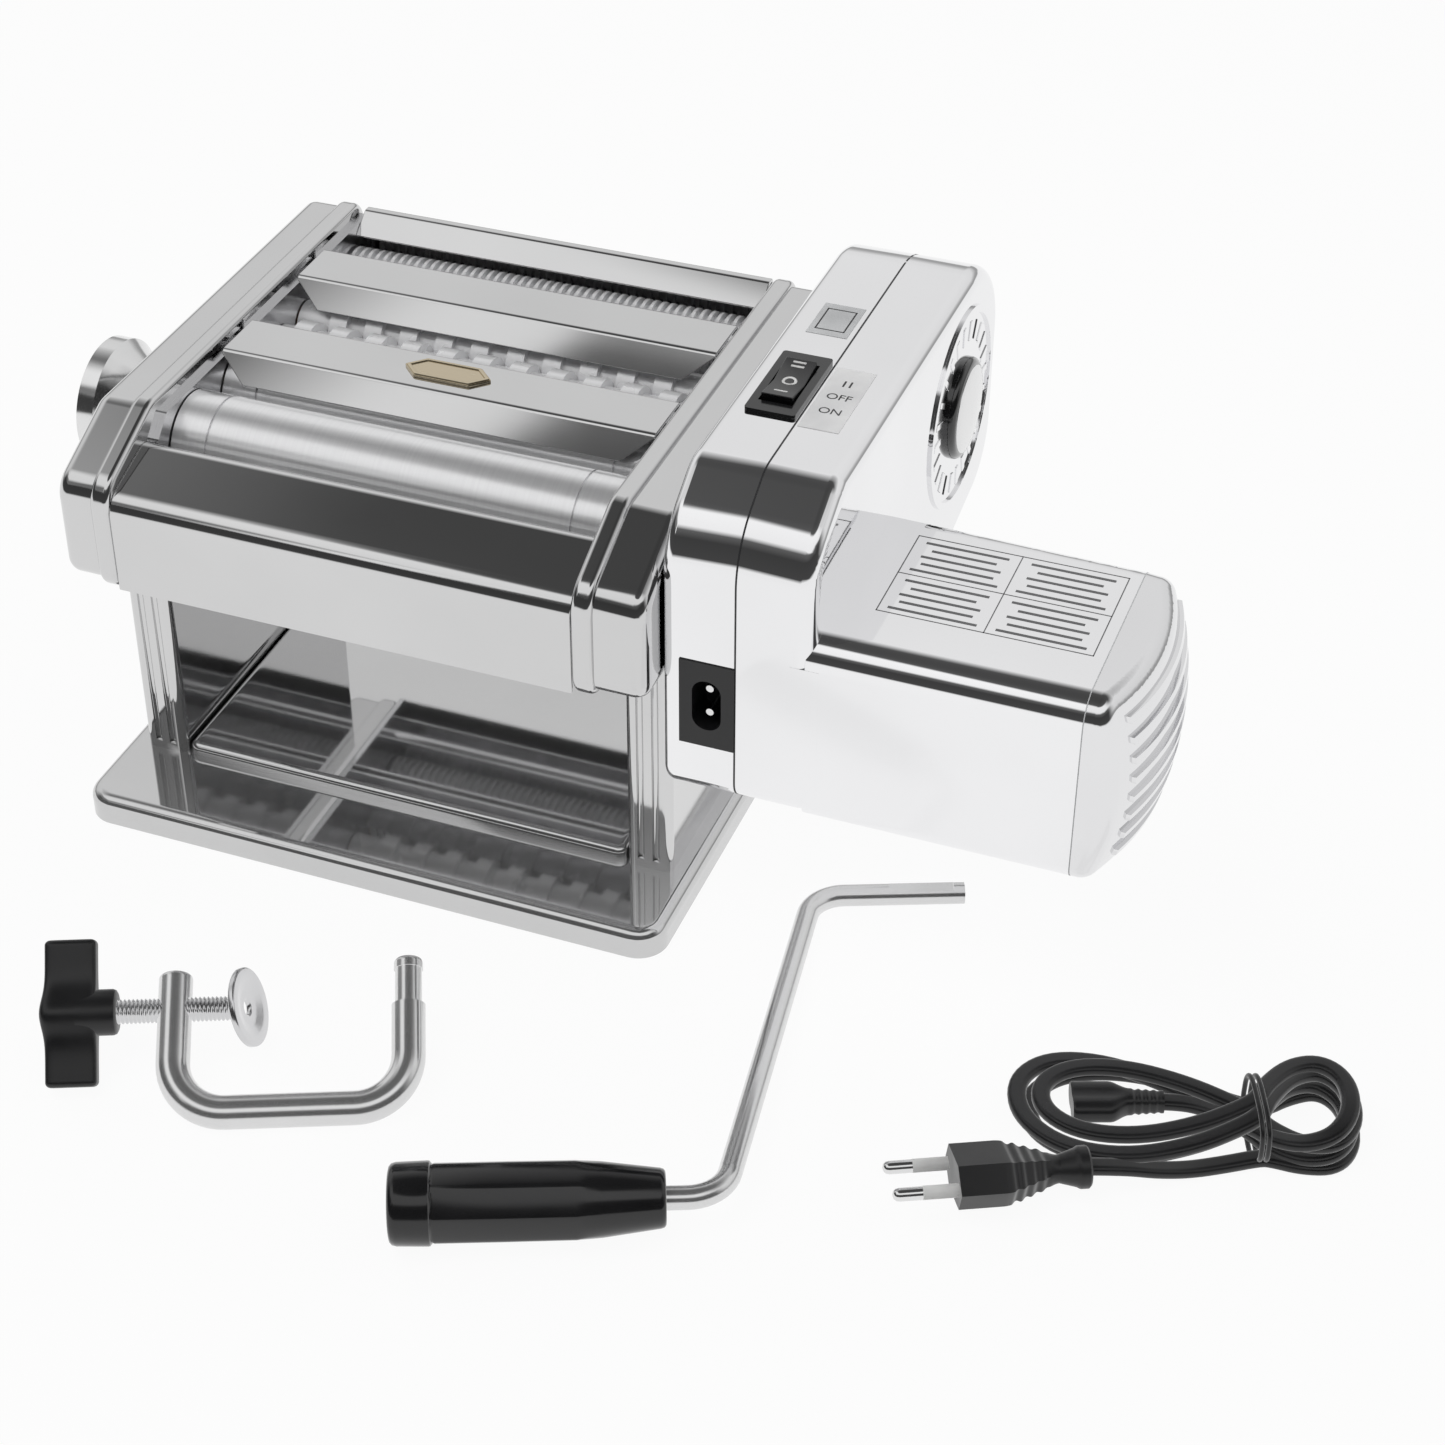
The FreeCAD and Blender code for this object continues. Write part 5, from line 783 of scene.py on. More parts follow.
# Reach of each bar of a field as a share of the field, from its lowest bar up
LABEL_BARS = (0.94, 0.78, 0.86, 0.70, 0.90)
LABEL_BAR_HALF = 0.55
LABEL_FIRST_BAR = 0.75
LABEL_SPARE_ROWS = 0.6


class MOTOR_OT_stickers(bpy.types.Operator):
    """Lays the plain square sticker on the gear case and the ruled panel on the motor box"""
    bl_idname = "roller.stickers"
    bl_label = "Stickers"

    def execute(self, context):
        foil = context.scene.mark_sizes.foil / MM
        ink = finish("black_print")
        top = SLAB_TOP + foil
        square = slab(*STICKER_X, *STICKER_Y, SLAB_TOP - PRINT_SINK, top)
        sticker = piece("square_sticker", *square, finish("silver_foil"), "motor", smooth=False)
        border = line_frame(*BORDER_X, *BORDER_Y, top - PRINT_SINK, top + INK_LIFT, BORDER_LINE)
        piece("square_sticker_border", *merged(border), ink, "motor", smooth=False)
        x0, x1 = LABEL_X
        y0, y1 = LABEL_Y
        mid_x = (x0 + x1) / 2.0
        mid_y = (y0 + y1) / 2.0
        heights = (BOX_TOP - PRINT_SINK, BOX_TOP + LABEL_LIFT)
        rules = line_frame(x0, x1, y0, y1, *heights, LABEL_LINE)
        rules.append(slab(mid_x - LABEL_CROSS_HALF, mid_x + LABEL_CROSS_HALF, y0, y1, *heights))
        rules.append(slab(x0, x1, mid_y - LABEL_CROSS_HALF, mid_y + LABEL_CROSS_HALF, *heights))
        half = (x1 - x0) / 4.0
        pitch = (y1 - y0) / 2.0 / (len(LABEL_BARS) + LABEL_SPARE_ROWS)
        for middle in (mid_x - half, mid_x + half):
            for bottom in (y0, mid_y):
                for row, share in enumerate(LABEL_BARS):
                    y = bottom + pitch * (row + LABEL_FIRST_BAR)
                    reach = (half - LABEL_MARGIN) * share
                    across = (y - LABEL_BAR_HALF, y + LABEL_BAR_HALF)
                    rules.append(slab(middle - reach, middle + reach, *across, *heights))
        panel = piece("ruled_panel", *merged(rules), finish("grey_print"), "motor", smooth=False)
        return {"FINISHED"}


EMBLEM_Y = 69.0
EMBLEM_Z = 123.0
BADGE_FACE_X = 150.7
DOME_RADII = (14.6, 14.6, 14.2, 12.0, 9.0, 6.0, 3.0, 0.01)
DOME_RISE = (-0.2, 0.15, 0.35, 0.7, 1.0, 1.2, 1.32, 1.36)
TICK_COUNT = 24
TICK_HALF = 1.1
TICK_REACH = (22.5, 29.0)
TICK_RISE = (-0.1, 0.35)
TICK_EDGE = 0.15


class MOTOR_OT_round_badge(bpy.types.Operator):
    """Gives the round badge its dark rim and bright dome, and the ring round it its raised ticks"""
    bl_idname = "roller.round_badge"
    bl_label = "Round badge"

    def execute(self, context):
        paint(["round_badge"], finish("dark_enamel"))
        rings = turned(BADGE_FACE_X + np.array(DOME_RISE), DOME_RADII)
        dome = placed(rings, at=(0.0, EMBLEM_Y, EMBLEM_Z))
        piece("badge_dome", dome, skin(rings), finish("spun_silver"), "motor")
        ticks = []
        for turn in np.arange(TICK_COUNT) * 360.0 / TICK_COUNT:
            points, faces = slab(-TICK_HALF, TICK_HALF, *TICK_REACH, *TICK_RISE)
            points = placed(points, ("Y", 90.0), ("X", turn), at=(SLAB_SIDE_X, EMBLEM_Y, EMBLEM_Z))
            ticks.append((points, faces))
        ring = piece("emblem_ticks", *merged(ticks), finish("bright_plating"), "motor", smooth=False)
        round_edges(ring, TICK_EDGE)
        return {"FINISHED"}


# Hand tools

CLAMP_AT = (28.3, -194.7, 5.1)
CLAMP_TILT = 25.0
CLAMP_YAW = 24.0
SCREW_OFF = 33.0
SCREW_FROM = -60.0
SCREW_TO = -16.9
SCREW_R = 3.8
SCREW_END_SHARE = 0.8
SCREW_RUN_OUT = 0.8
THREAD_PITCH = 1.25
THREAD_DEPTH = 0.55
THREAD_SLOPE = 2.2
THREAD_FLAT = 0.1
THREAD_ROWS = 6
THREAD_COLUMNS = 36

GRIP_AT = (75.2, -224.0, 12.0)
GRIP_YAW = 23.0
GRIP_FACETS = 8
GRIP_RIDGE_R = 11.9
GRIP_FLAT_R = 10.95
GRIP_BORE_R = 3.6
GRIP_COLUMNS = 96
RIDGE_POWER = 12.0
# Station along the grip, radius there, and how far its section is faceted
GRIP_STATIONS = ((0.0, 9.6, 0.0), (0.25, 10.7, 0.0), (0.9, 11.4, 0.0), (2.2, 11.75, 0.0),
                 (11.2, 11.98, 0.0), (11.7, 11.85, 0.0), (12.0, 11.4, 0.0), (12.4, 11.5, 0.9),
                 (13.0, 11.8, 1.0), (33.0, 11.8, 1.0), (52.8, 11.7, 1.0), (54.0, 11.5, 0.9),
                 (56.0, 11.15, 0.45), (60.0, 10.65, 0.0), (76.4, 8.5, 0.0), (77.4, 8.2, 0.0),
                 (77.9, 7.6, 0.0), (78.0, 6.8, 0.0), (78.0, 4.4, 0.0), (77.6, GRIP_BORE_R, 0.0),
                 (5.9, GRIP_BORE_R, 0.0))


def grip_rings():
    """Crank grip on the x axis: a turned shape whose section goes, where it is faceted, from a circle to a
    polygon with softened ridges. Out from the middle of a facet the polygon's radius is the flat's distance
    over the cosine. The ridges are taken off by adding inverse high powers of it and of the ridge circle."""
    along, radius, faceting = np.array(GRIP_STATIONS).T[..., None]
    angle = np.linspace(0.0, TURN, GRIP_COLUMNS, endpoint=False)
    facet = TURN / GRIP_FACETS
    off_flat = (angle + facet / 2.0) % facet - facet / 2.0
    polygon = GRIP_FLAT_R / np.cos(off_flat)
    soft = (polygon ** -RIDGE_POWER + GRIP_RIDGE_R ** -RIDGE_POWER) ** (-1.0 / RIDGE_POWER)
    drawn_in = faceting * (soft / soft.max() - 1.0)
    return turned(along[:, 0], radius * (1.0 + drawn_in), GRIP_COLUMNS)


class TOOL_OT_crank(bpy.types.Operator):
    """Plates the crank rod and turns its polished grip"""
    bl_idname = "roller.crank"
    bl_label = "Hand crank"

    def execute(self, context):
        paint(["crank_rod"], finish("satin_rod"))
        rings = grip_rings()
        points = placed(rings, ("Z", GRIP_YAW), at=GRIP_AT)
        grip = piece("turned_grip", points, skin(rings), finish("glossy_black"), "grip")
        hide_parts("crank_grip")
        return {"FINISHED"}


WING_HALF = 22.0
WING_SPAN_X = (-73.6, -58.1)
WING_HALF_T = 3.4
WING_SWELL = 3.5
WING_BUMP = 1.4
WING_BELL = 6.2
WING_EDGE = 1.6
WING_EDGE_END = 0.995
WING_POWER = 6.0
WING_STATIONS = 61
WING_COLUMNS = 56
WING_LEAN = 19.96
HUB_ALONG = (-64.0, -53.4, -52.5, -52.1)
HUB_RADII = (6.95, 6.95, 6.6, 5.9)


def wing_rings():
    """Wing of the clamp knob along y: each section is a rounded oblong. Its half thickness and its outer
    edge swell at the hub by a bell curve, and its ends are rounded off by a quarter circle."""
    share = np.sin(np.linspace(-1.0, 1.0, WING_STATIONS) * math.pi / 2.0)
    along = WING_HALF * share
    past = np.clip((np.abs(along) - (WING_HALF - WING_EDGE)) / WING_EDGE, 0.0, WING_EDGE_END)
    inset = WING_EDGE * (1.0 - np.sqrt(1.0 - past ** 2))
    bell = np.exp(-(along / WING_BELL) ** 2)
    left = WING_SPAN_X[0] - WING_BUMP * bell
    middle = (left + WING_SPAN_X[1]) / 2.0
    half_width = (WING_SPAN_X[1] - left) / 2.0 - inset
    half_thick = WING_HALF_T + WING_SWELL * bell - inset
    section = superellipse(1.0, 1.0, WING_POWER, WING_COLUMNS)
    x = middle[:, None] + half_width[:, None] * section[None, :, 0]
    z = half_thick[:, None] * section[None, :, 1]
    return np.stack([x, np.broadcast_to(along[:, None], x.shape), z], axis=-1)


def threaded_rod():
    """A screw on the x axis: the radius falls and rises once in each pitch, the groove moves round with x,
    and the end is drawn in."""
    rows = int((SCREW_TO - SCREW_FROM) / THREAD_PITCH * THREAD_ROWS)
    along = np.linspace(SCREW_FROM, SCREW_TO, rows)
    share = np.linspace(0.0, 1.0, THREAD_COLUMNS, endpoint=False)
    phase = (along[:, None] / THREAD_PITCH - share[None, :]) % 1.0
    crest = np.clip(THREAD_SLOPE * np.abs(phase - 0.5) - THREAD_FLAT, 0.0, 1.0)
    drawn = blend((SCREW_END_SHARE, 1.0), smooth_step((SCREW_TO - along) / SCREW_RUN_OUT))[:, None]
    rings = turned(along, (SCREW_R - THREAD_DEPTH * (1.0 - crest)) * drawn, THREAD_COLUMNS)
    return placed(rings, at=(0.0, SCREW_OFF, 0.0)), skin(rings)


def clamp_to_part(points):
    """Moves points from the clamp's own axes, x along its screw, to the part."""
    return placed(points, ("X", CLAMP_TILT), ("Z", CLAMP_YAW), at=CLAMP_AT)


class TOOL_OT_clamp(bpy.types.Operator):
    """Finishes the table clamp, shapes its wing knob and cuts the thread of its screw"""
    bl_idname = "roller.clamp"
    bl_label = "Table clamp"

    def execute(self, context):
        paint(["clamp_arm"], finish("satin_rod"))
        paint(["clamp_pad"], finish("zinc_plate"))
        soften(["clamp_pad"], KNOB_EDGE, segments=3)
        hub = turned(HUB_ALONG, HUB_RADII)
        points, faces = merged([(rings, skin(rings)) for rings in (wing_rings(), hub)])
        points = clamp_to_part(placed(points, ("X", WING_LEAN), at=(0.0, SCREW_OFF, 0.0)))
        knob = piece("wing_knob", points, faces, finish("satin_black"), "clamp_screw")
        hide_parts("clamp_knob")
        points, faces = threaded_rod()
        screw = piece("clamp_thread", clamp_to_part(points), faces, finish("zinc_plate"), "clamp_screw")
        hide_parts("clamp_screw")
        return {"FINISHED"}


# Lead

HANK_AT = (273.0, -95.0, 0.0)
HANK_YAW = 21.0
TIE_ALONG = 18.0
# Right and left loops: control points of each, and how full its sides are
LOOP_POINTS = (8, 10)
LOOP_FULLNESS = (0.32, 0.42)
LAST_FULLNESS = 0.8
# Where the cord passes the tie each time: across the hank and up
TIE_PASSES = ((-14.0, 6.8), (-10.2, 15.2), (-8.2, 6.8), (-16.0, 14.8), (-12.4, 2.9), (-13.2, 11.0),
              (-3.0, 2.6), (-21.2, 2.4))
# Each loop: its reach along the hank, its half width, its place across and the height of its far end
LOOPS = ((46.0, 18.0, -6.0, 13.6), (-45.0, 19.5, -4.0, 9.8), (47.0, 19.0, -7.0, 9.8),
         (-51.5, 26.5, 0.0, 5.8), (46.2, 18.0, -8.0, 6.0), (-48.0, 23.0, -3.0, 2.3), (47.0, -21.0, -8.0, 2.3))
CONNECTOR_RUN = ((-7.0, 0.0, 4.0), (-2.0, -0.2, 4.0), (4.0, -2.6, 4.6), (11.0, -8.2, 6.0))
TAIL_RUN = ((8.0, -23.6, 2.2), (-3.0, -26.4, 2.8), (-13.0, -28.9, 5.2), (-22.5, -30.2, 7.9),
            (-32.6, -31.2, 8.9))
CORD_RESOLUTION = 6
CORD_ORDER = 3
CORD_POWER = 2.6
CORD_WAIST_DEPTH = 0.16
CORD_WAIST_WIDTH = 0.16

TIE_TURNS = (-0.30, 1.72)
TIE_STEPS = 130
TIE_SIDES = 10
TIE_MIDDLE = (-12.2, 9.8)
TIE_HALF = (12.9, 8.7)
TIE_ROUNDNESS = 0.7
TIE_PITCH = 1.9
TIE_BACK = 1.6

PLUG_AT = (219.0, -153.5, 8.92)
PLUG_YAW = 27.0
PLUG_ROLL = -20.0
PLUG_STATIONS = ((0.0, 13.0, 3), (13.4, 30.0, 57), (30.4, 39.0, 15))
PLUG_SIDE_POINTS = 4
PLUG_DRAWN = (12.5, 30.0)
# Half width, half thickness and half flat of the plug's six sides, at its body and at its neck
PLUG_HALF_W = (13.0, 4.8)
PLUG_HALF_T = (6.75, 4.35)
PLUG_FLAT = (7.5, 2.9)
PLUG_RIBBED = (15.0, 27.8)
PLUG_RIB_PITCH = 3.2
PLUG_RIB_DEPTH = 0.09
COLLAR_BLEND = (25.0, 30.0)
COLLAR_ALONG = (26.0, 30.0, 35.0, 36.0, 38.4, 39.0)
COLLAR_RADII = (4.3, 4.1, 5.6, 6.2, 6.2, 5.6)
PIN_ASIDE = 8.75
PIN_COLUMNS = 24
SLEEVE_ALONG = (0.6, -10.4, -10.6)
SLEEVE_RADII = (2.0, 2.0, 1.8)
TIP_ALONG = (-10.2, -17.0, -18.0, -18.7, -19.0)
TIP_RADII = (1.95, 1.95, 1.75, 1.2, 0.3)

CONNECTOR_AT = (-34.0, 0.0, 4.0)
CONNECTOR_STATIONS = ((0.0, 0.5, 2), (0.9, 16.0, 16), (16.2, 27.0, 48))
CONNECTOR_COLUMNS = 40
CONNECTOR_POWER = 2.6
CONNECTOR_DRAWN = (11.0, 17.0)
# Half width and half thickness, at the socket and at its boot
CONNECTOR_HALF_W = (7.0, 3.7)
CONNECTOR_HALF_T = (4.0, 3.7)
CONNECTOR_WAIST_DEPTH = 0.22
CONNECTOR_WAIST_WIDTH = 0.28
FACE_DEPTH = 0.3
FACE_SHARE = 0.94
BOOT_TAPER = 0.06
BOOT_RIBBED = (17.5, 26.5)
BOOT_RIB_PITCH = 2.25
BOOT_RIB_DEPTH = 0.1


def hank_to_part(points):
    """Moves points from the hank's own axes (along, across, up) to the part."""
    return placed(points, ("Z", HANK_YAW), at=HANK_AT)


def plug_to_part(points):
    """Moves points from the plug's own axes, x from its face to its cord, to the part."""
    return placed(points, ("X", PLUG_ROLL), ("Z", PLUG_YAW), at=PLUG_AT)


def hank_loop(start, end, reach, half, aside, far_height, fullness, count):
    """Control points of one loop of the hank. The angle grows evenly through a whole turn; the share, half
    of one plus its cosine, grows from the tie to the far end and back. Along the hank the loop goes by the
    share of its reach, across by the sine times the half width times the share to the power of its fullness,
    and its height and place blend from those at the tie to those at the far end."""
    angle = np.linspace(-math.pi, math.pi, count + 2)[1:-1]
    share = (1.0 + np.cos(angle)) / 2.0
    ease = smooth_step((angle / math.pi + 1.0) / 2.0)
    along = TIE_ALONG + (reach - TIE_ALONG) * share
    tied_aside = blend((start[0], end[0]), ease)
    tied_height = blend((start[1], end[1]), ease)
    across = np.sin(angle) * half * share ** fullness + aside * share + tied_aside * (1.0 - share)
    height = tied_height * (1.0 - share) + far_height * share
    return np.stack([along, across, height], axis=-1)


def hank_turns():
    """Control points of the tied turns, a figure of eight: right and left loops in turn, each from one pass
    through the tie to the next. The last loop runs the other way round and skips its first pass."""
    runs = []
    for index, shape in enumerate(LOOPS):
        start, end = TIE_PASSES[index:index + 2]
        last = index == len(LOOPS) - 1
        fullness = LAST_FULLNESS if last else LOOP_FULLNESS[index % 2]
        if not last:
            runs.append([(TIE_ALONG, *start)])
        runs.append(hank_loop(start, end, *shape, fullness, LOOP_POINTS[index % 2]))
    runs.append([(TIE_ALONG, *TIE_PASSES[-1])])
    return np.vstack(runs)


def lead_line():
    """Points along the lead, read from the NURBS spline of its control points, in mm."""
    control = hank_to_part(np.vstack([CONNECTOR_RUN, hank_turns(), TAIL_RUN]))
    curve = bpy.data.curves.new("lead_line", "CURVE")
    curve.dimensions = "3D"
    curve.resolution_u = CORD_RESOLUTION
    spline = curve.splines.new("NURBS")
    spline.points.add(len(control) - 1)
    spline.points.foreach_set("co", np.hstack([control, np.ones((len(control), 1))]).ravel())
    spline.order_u = CORD_ORDER
    spline.use_endpoint_u = True
    holder = bpy.data.objects.new("lead_line", curve)
    bpy.context.scene.collection.objects.link(holder)
    line = bpy.data.meshes.new_from_object(holder)
    points = np.empty(len(line.vertices) * 3)
    line.vertices.foreach_get("co", points)
    bpy.data.objects.remove(holder)
    bpy.data.curves.remove(curve)
    bpy.data.meshes.remove(line)
    return points.reshape(-1, 3)


def twin_profile(width, thickness, columns=20):
    """Outline of a flat twin cord, two round wires side by side: a superellipse whose height is drawn in by a
    bell curve where they meet."""
    outline = superellipse(width / 2.0, thickness / 2.0, CORD_POWER, columns)
    outline[:, 1] *= 1.0 - CORD_WAIST_DEPTH * np.exp(-(outline[:, 0] / (CORD_WAIST_WIDTH * width)) ** 2)
    return outline


def plug_rings():
    """Moulded plug: a six-sided outline drawn in to a ribbed neck, then a round collar that flares. Points
    are spread evenly over each of the six sides, and blend to those of the collar's circle."""
    x = stations(PLUG_STATIONS)
    narrow = rise(x, *PLUG_DRAWN)
    half_w = blend(PLUG_HALF_W, narrow)
    half_t = blend(PLUG_HALF_T, narrow)
    flat = blend(PLUG_FLAT, narrow)
    level = np.zeros_like(x)
    corner = np.stack([half_w, flat, -flat, -half_w, -flat, flat, half_w], axis=1)
    corner_up = np.stack([level, half_t, half_t, level, -half_t, -half_t, level], axis=1)
    columns = 6 * PLUG_SIDE_POINTS
    step = np.arange(columns) / PLUG_SIDE_POINTS
    side = step.astype(int)
    six_y = blend((corner[:, side], corner[:, side + 1]), step - side)
    six_z = blend((corner_up[:, side], corner_up[:, side + 1]), step - side)
    swell = 1.0 - PLUG_RIB_DEPTH * ribs(x, PLUG_RIBBED, PLUG_RIB_PITCH)[:, None]
    angle = np.linspace(0.0, TURN, columns, endpoint=False)
    collar = np.interp(x, COLLAR_ALONG, COLLAR_RADII)[:, None]
    turn_round = rise(x, *COLLAR_BLEND)[:, None]
    y = blend((six_y * swell, collar * np.cos(angle)), turn_round)
    z = blend((six_z * swell, collar * np.sin(angle)), turn_round)
    return np.stack([np.broadcast_to(x[:, None], y.shape), y, z], axis=-1)


def pins(along, radius):
    """Two like turned pins, one each side of the plug's axis."""
    rings = turned(along, radius, PIN_COLUMNS)
    pair = [placed(rings, at=(0.0, aside, 0.0)) for aside in (-PIN_ASIDE, PIN_ASIDE)]
    return merged([(plug_to_part(pin), skin(rings)) for pin in pair])


def connector_rings():
    """Moulded socket: a wide flat outline waisted in its middle by a bell curve, drawn in to a round ribbed
    boot that tapers evenly."""
    x = stations(CONNECTOR_STATIONS)[:, None]
    narrow = rise(x, *CONNECTOR_DRAWN)
    taper = BOOT_TAPER * np.clip(x - CONNECTOR_DRAWN[1], 0.0, None)
    swell = np.where(x < FACE_DEPTH, FACE_SHARE, 1.0 - BOOT_RIB_DEPTH * ribs(x, BOOT_RIBBED, BOOT_RIB_PITCH))
    outline = superellipse(1.0, 1.0, CONNECTOR_POWER, CONNECTOR_COLUMNS)[None]
    bell = np.exp(-(outline[..., 0] / CONNECTOR_WAIST_WIDTH) ** 2)
    waist = 1.0 - CONNECTOR_WAIST_DEPTH * (1.0 - narrow) * bell
    y = (blend(CONNECTOR_HALF_W, narrow) - taper) * swell * outline[..., 0]
    z = (blend(CONNECTOR_HALF_T, narrow) - taper) * swell * outline[..., 1] * waist
    return np.stack([np.broadcast_to(x, y.shape), y, z], axis=-1)


def tie_rings(wire):
    """Wire tie: a loop that goes twice round the bundle while it moves along. Across and up it follows the
    cosine and sine, each raised to one power that makes the round loop oblong."""
    turn = np.linspace(*TIE_TURNS, TIE_STEPS)
    round_about = np.stack([np.cos(turn * TURN), np.sin(turn * TURN)], axis=-1)
    loop = TIE_MIDDLE + TIE_HALF * np.sign(round_about) * np.abs(round_about) ** TIE_ROUNDNESS
    path = np.column_stack([TIE_ALONG - TIE_BACK + TIE_PITCH * turn, loop])
    profile = superellipse(wire / 2.0, wire / 2.0, 2.0, TIE_SIDES)
    return carried(path, profile, (1.0, 0.0, 0.0))


class LEAD_OT_lead(bpy.types.Operator):
    """Winds the flat lead into its tied hank, with its plug and connector"""
    bl_idname = "roller.lead"
    bl_label = "Mains lead"

    def execute(self, context):
        sizes = context.scene.lead_sizes
        line = lead_line()
        rings = carried(line, twin_profile(sizes.width / MM, sizes.thickness / MM), (0.0, 0.0, 1.0))
        cord = piece("lead_cord", rings, skin(rings), finish("cord_black"), "lead")
        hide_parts("cord_hank", "cord_tail")
        rings = plug_rings()
        plug = piece("mains_plug", plug_to_part(rings), skin(rings), finish("satin_black"), "lead")
        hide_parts("plug_body")
        sleeves = piece("pin_sleeves", *pins(SLEEVE_ALONG, SLEEVE_RADII), finish("white_print"), "lead")
        tips = piece("pin_tips", *pins(TIP_ALONG, TIP_RADII), finish("plated_rod"), "lead")
        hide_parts("plug_pins")
        rings = connector_rings()
        shell = hank_to_part(placed(rings, at=CONNECTOR_AT))
        socket = piece("lead_connector", shell, skin(rings), finish("satin_black"), "lead")
        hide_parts("connector")
        rings = tie_rings(sizes.tie_wire / MM)
        tie = piece("hank_tie", hank_to_part(rings), skin(rings), finish("cord_black"), "lead")
        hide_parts("cord_tie")
        return {"FINISHED"}


# Stage

# Bodies that lie loose before the machine, kept out of its mirror reflections
LOOSE_BODIES = ("crank", "grip", "clamp", "clamp_pad", "clamp_screw", "lead")
# Camera fitted to the straight edges in the photograph: its place in metres and its three axes
CAMERA_AT = (0.36111, -0.72895, 0.61448)
CAMERA_RIGHT = (0.92695, 0.37491, -0.01438)
CAMERA_UP = (-0.21068, 0.55186, 0.80688)
CAMERA_BACK = (0.31044, -0.74491, 0.59054)
CAMERA_SHIFT = (0.0659, -0.0294)
SENSOR_WIDTH = 36.0
# Studio before and behind the object: height of a direction, from -1 to 1, and the brightness there
FRONT_BANDS = ((-1.0, 0.95), (-0.03, 0.92), (0.05, 0.06), (0.46, 0.05), (0.61, 0.12), (0.69, 0.95),
               (0.895, 1.0), (0.925, 0.1), (1.0, 0.06))
BACK_BANDS = ((-1.0, 0.95), (-0.03, 0.9), (0.02, 0.35), (0.12, 0.4), (0.28, 0.78), (0.62, 0.85),
              (0.78, 0.4), (0.88, 0.08), (1.0, 0.06))
FRONT_TO_BACK = (-0.25, 0.25)
# Soft box in front: side slope of a direction and the brightness there, then the heights of its soft edges
SOFT_BOX_SIDES = ((-0.66, 0.2), (-0.58, 1.0), (-0.50, 1.0), (-0.485, 0.0))
SOFT_BOX_FOOT = (0.44, 0.52)
SOFT_BOX_HEAD = (0.76, 0.70)
BLACK = (0.0, 0.0, 0.0, 1.0)
WHITE = (1.0, 1.0, 1.0, 1.0)
PAPER = (0.9, 0.9, 0.9, 1.0)
PAPER_ROUGHNESS = 0.9
# How far the paper is lifted to white where the camera and where a mirror sees it
PAPER_SEEN = 0.94
PAPER_MIRRORED = 0.88
FLOOR_POINTS = 5
LIGHT_AIM = (0.08, -0.05, 0.08)
KEY_AT = (-0.2, -0.5, 1.4)
KEY_WIDTH = 0.8


def feed(tree, socket, term):
    """Links a socket to another node's output, or sets it to a plain value."""
    if isinstance(term, bpy.types.NodeSocket):
        tree.links.new(term, socket)
    else:
        socket.default_value = term


def worked_out(tree, operation, *terms):
    """The result of one operation on outputs and plain numbers."""
    node = tree.nodes.new("ShaderNodeMath")
    node.operation = operation
    for socket, term in zip(node.inputs, terms):
        feed(tree, socket, term)
    return node.outputs["Value"]


def mixed(tree, share, first, second, way="MIX"):
    """One colour mixed with another by a share."""
    node = tree.nodes.new("ShaderNodeMix")
    node.data_type = "RGBA"
    node.blend_type = way
    for name, term in (("Factor", share), ("A", first), ("B", second)):
        feed(tree, node.inputs[name], term)
    return node.outputs["Result"]


def smooth_span(tree, value, start, end):
    """Rises from 0 to 1 as a value goes from start to end, level at both ends."""
    node = tree.nodes.new("ShaderNodeMapRange")
    node.interpolation_type = "SMOOTHSTEP"
    feed(tree, node.inputs["Value"], value)
    feed(tree, node.inputs["From Min"], start)
    feed(tree, node.inputs["From Max"], end)
    return node.outputs["Result"]


def grey_ramp(tree, value, stops):
    """A grey that follows a value from 0 to 1 through stops of (value, brightness)."""
    node = tree.nodes.new("ShaderNodeValToRGB")
    elements = node.color_ramp.elements
    while len(elements) < len(stops):
        elements.new(1.0)
    for element, (place, level) in zip(elements, stops):
        element.position = place
        element.color = (level, level, level, 1.0)
    feed(tree, node.inputs["Fac"], value)
    return node.outputs["Color"]


def height_bands(tree, height, bands):
    """Grey bands over the height of a direction, from straight down to straight up."""
    rescaled = worked_out(tree, "MULTIPLY_ADD", height, 0.5, 0.5)
    return grey_ramp(tree, rescaled, [((up + 1.0) / 2.0, level) for up, level in bands])


def window_light(tree, axes):
    """A soft box in front: its brightness follows the direction's side slope, between two heights."""
    ahead = worked_out(tree, "MULTIPLY", axes.outputs["Y"], -1.0)
    slope = worked_out(tree, "DIVIDE", axes.outputs["X"], ahead)
    shifted = worked_out(tree, "ADD", slope, 1.0)
    across = grey_ramp(tree, shifted, [(side + 1.0, level) for side, level in SOFT_BOX_SIDES])
    foot = smooth_span(tree, axes.outputs["Z"], *SOFT_BOX_FOOT)
    head = smooth_span(tree, axes.outputs["Z"], *SOFT_BOX_HEAD)
    return mixed(tree, worked_out(tree, "MULTIPLY", foot, head), BLACK, across)


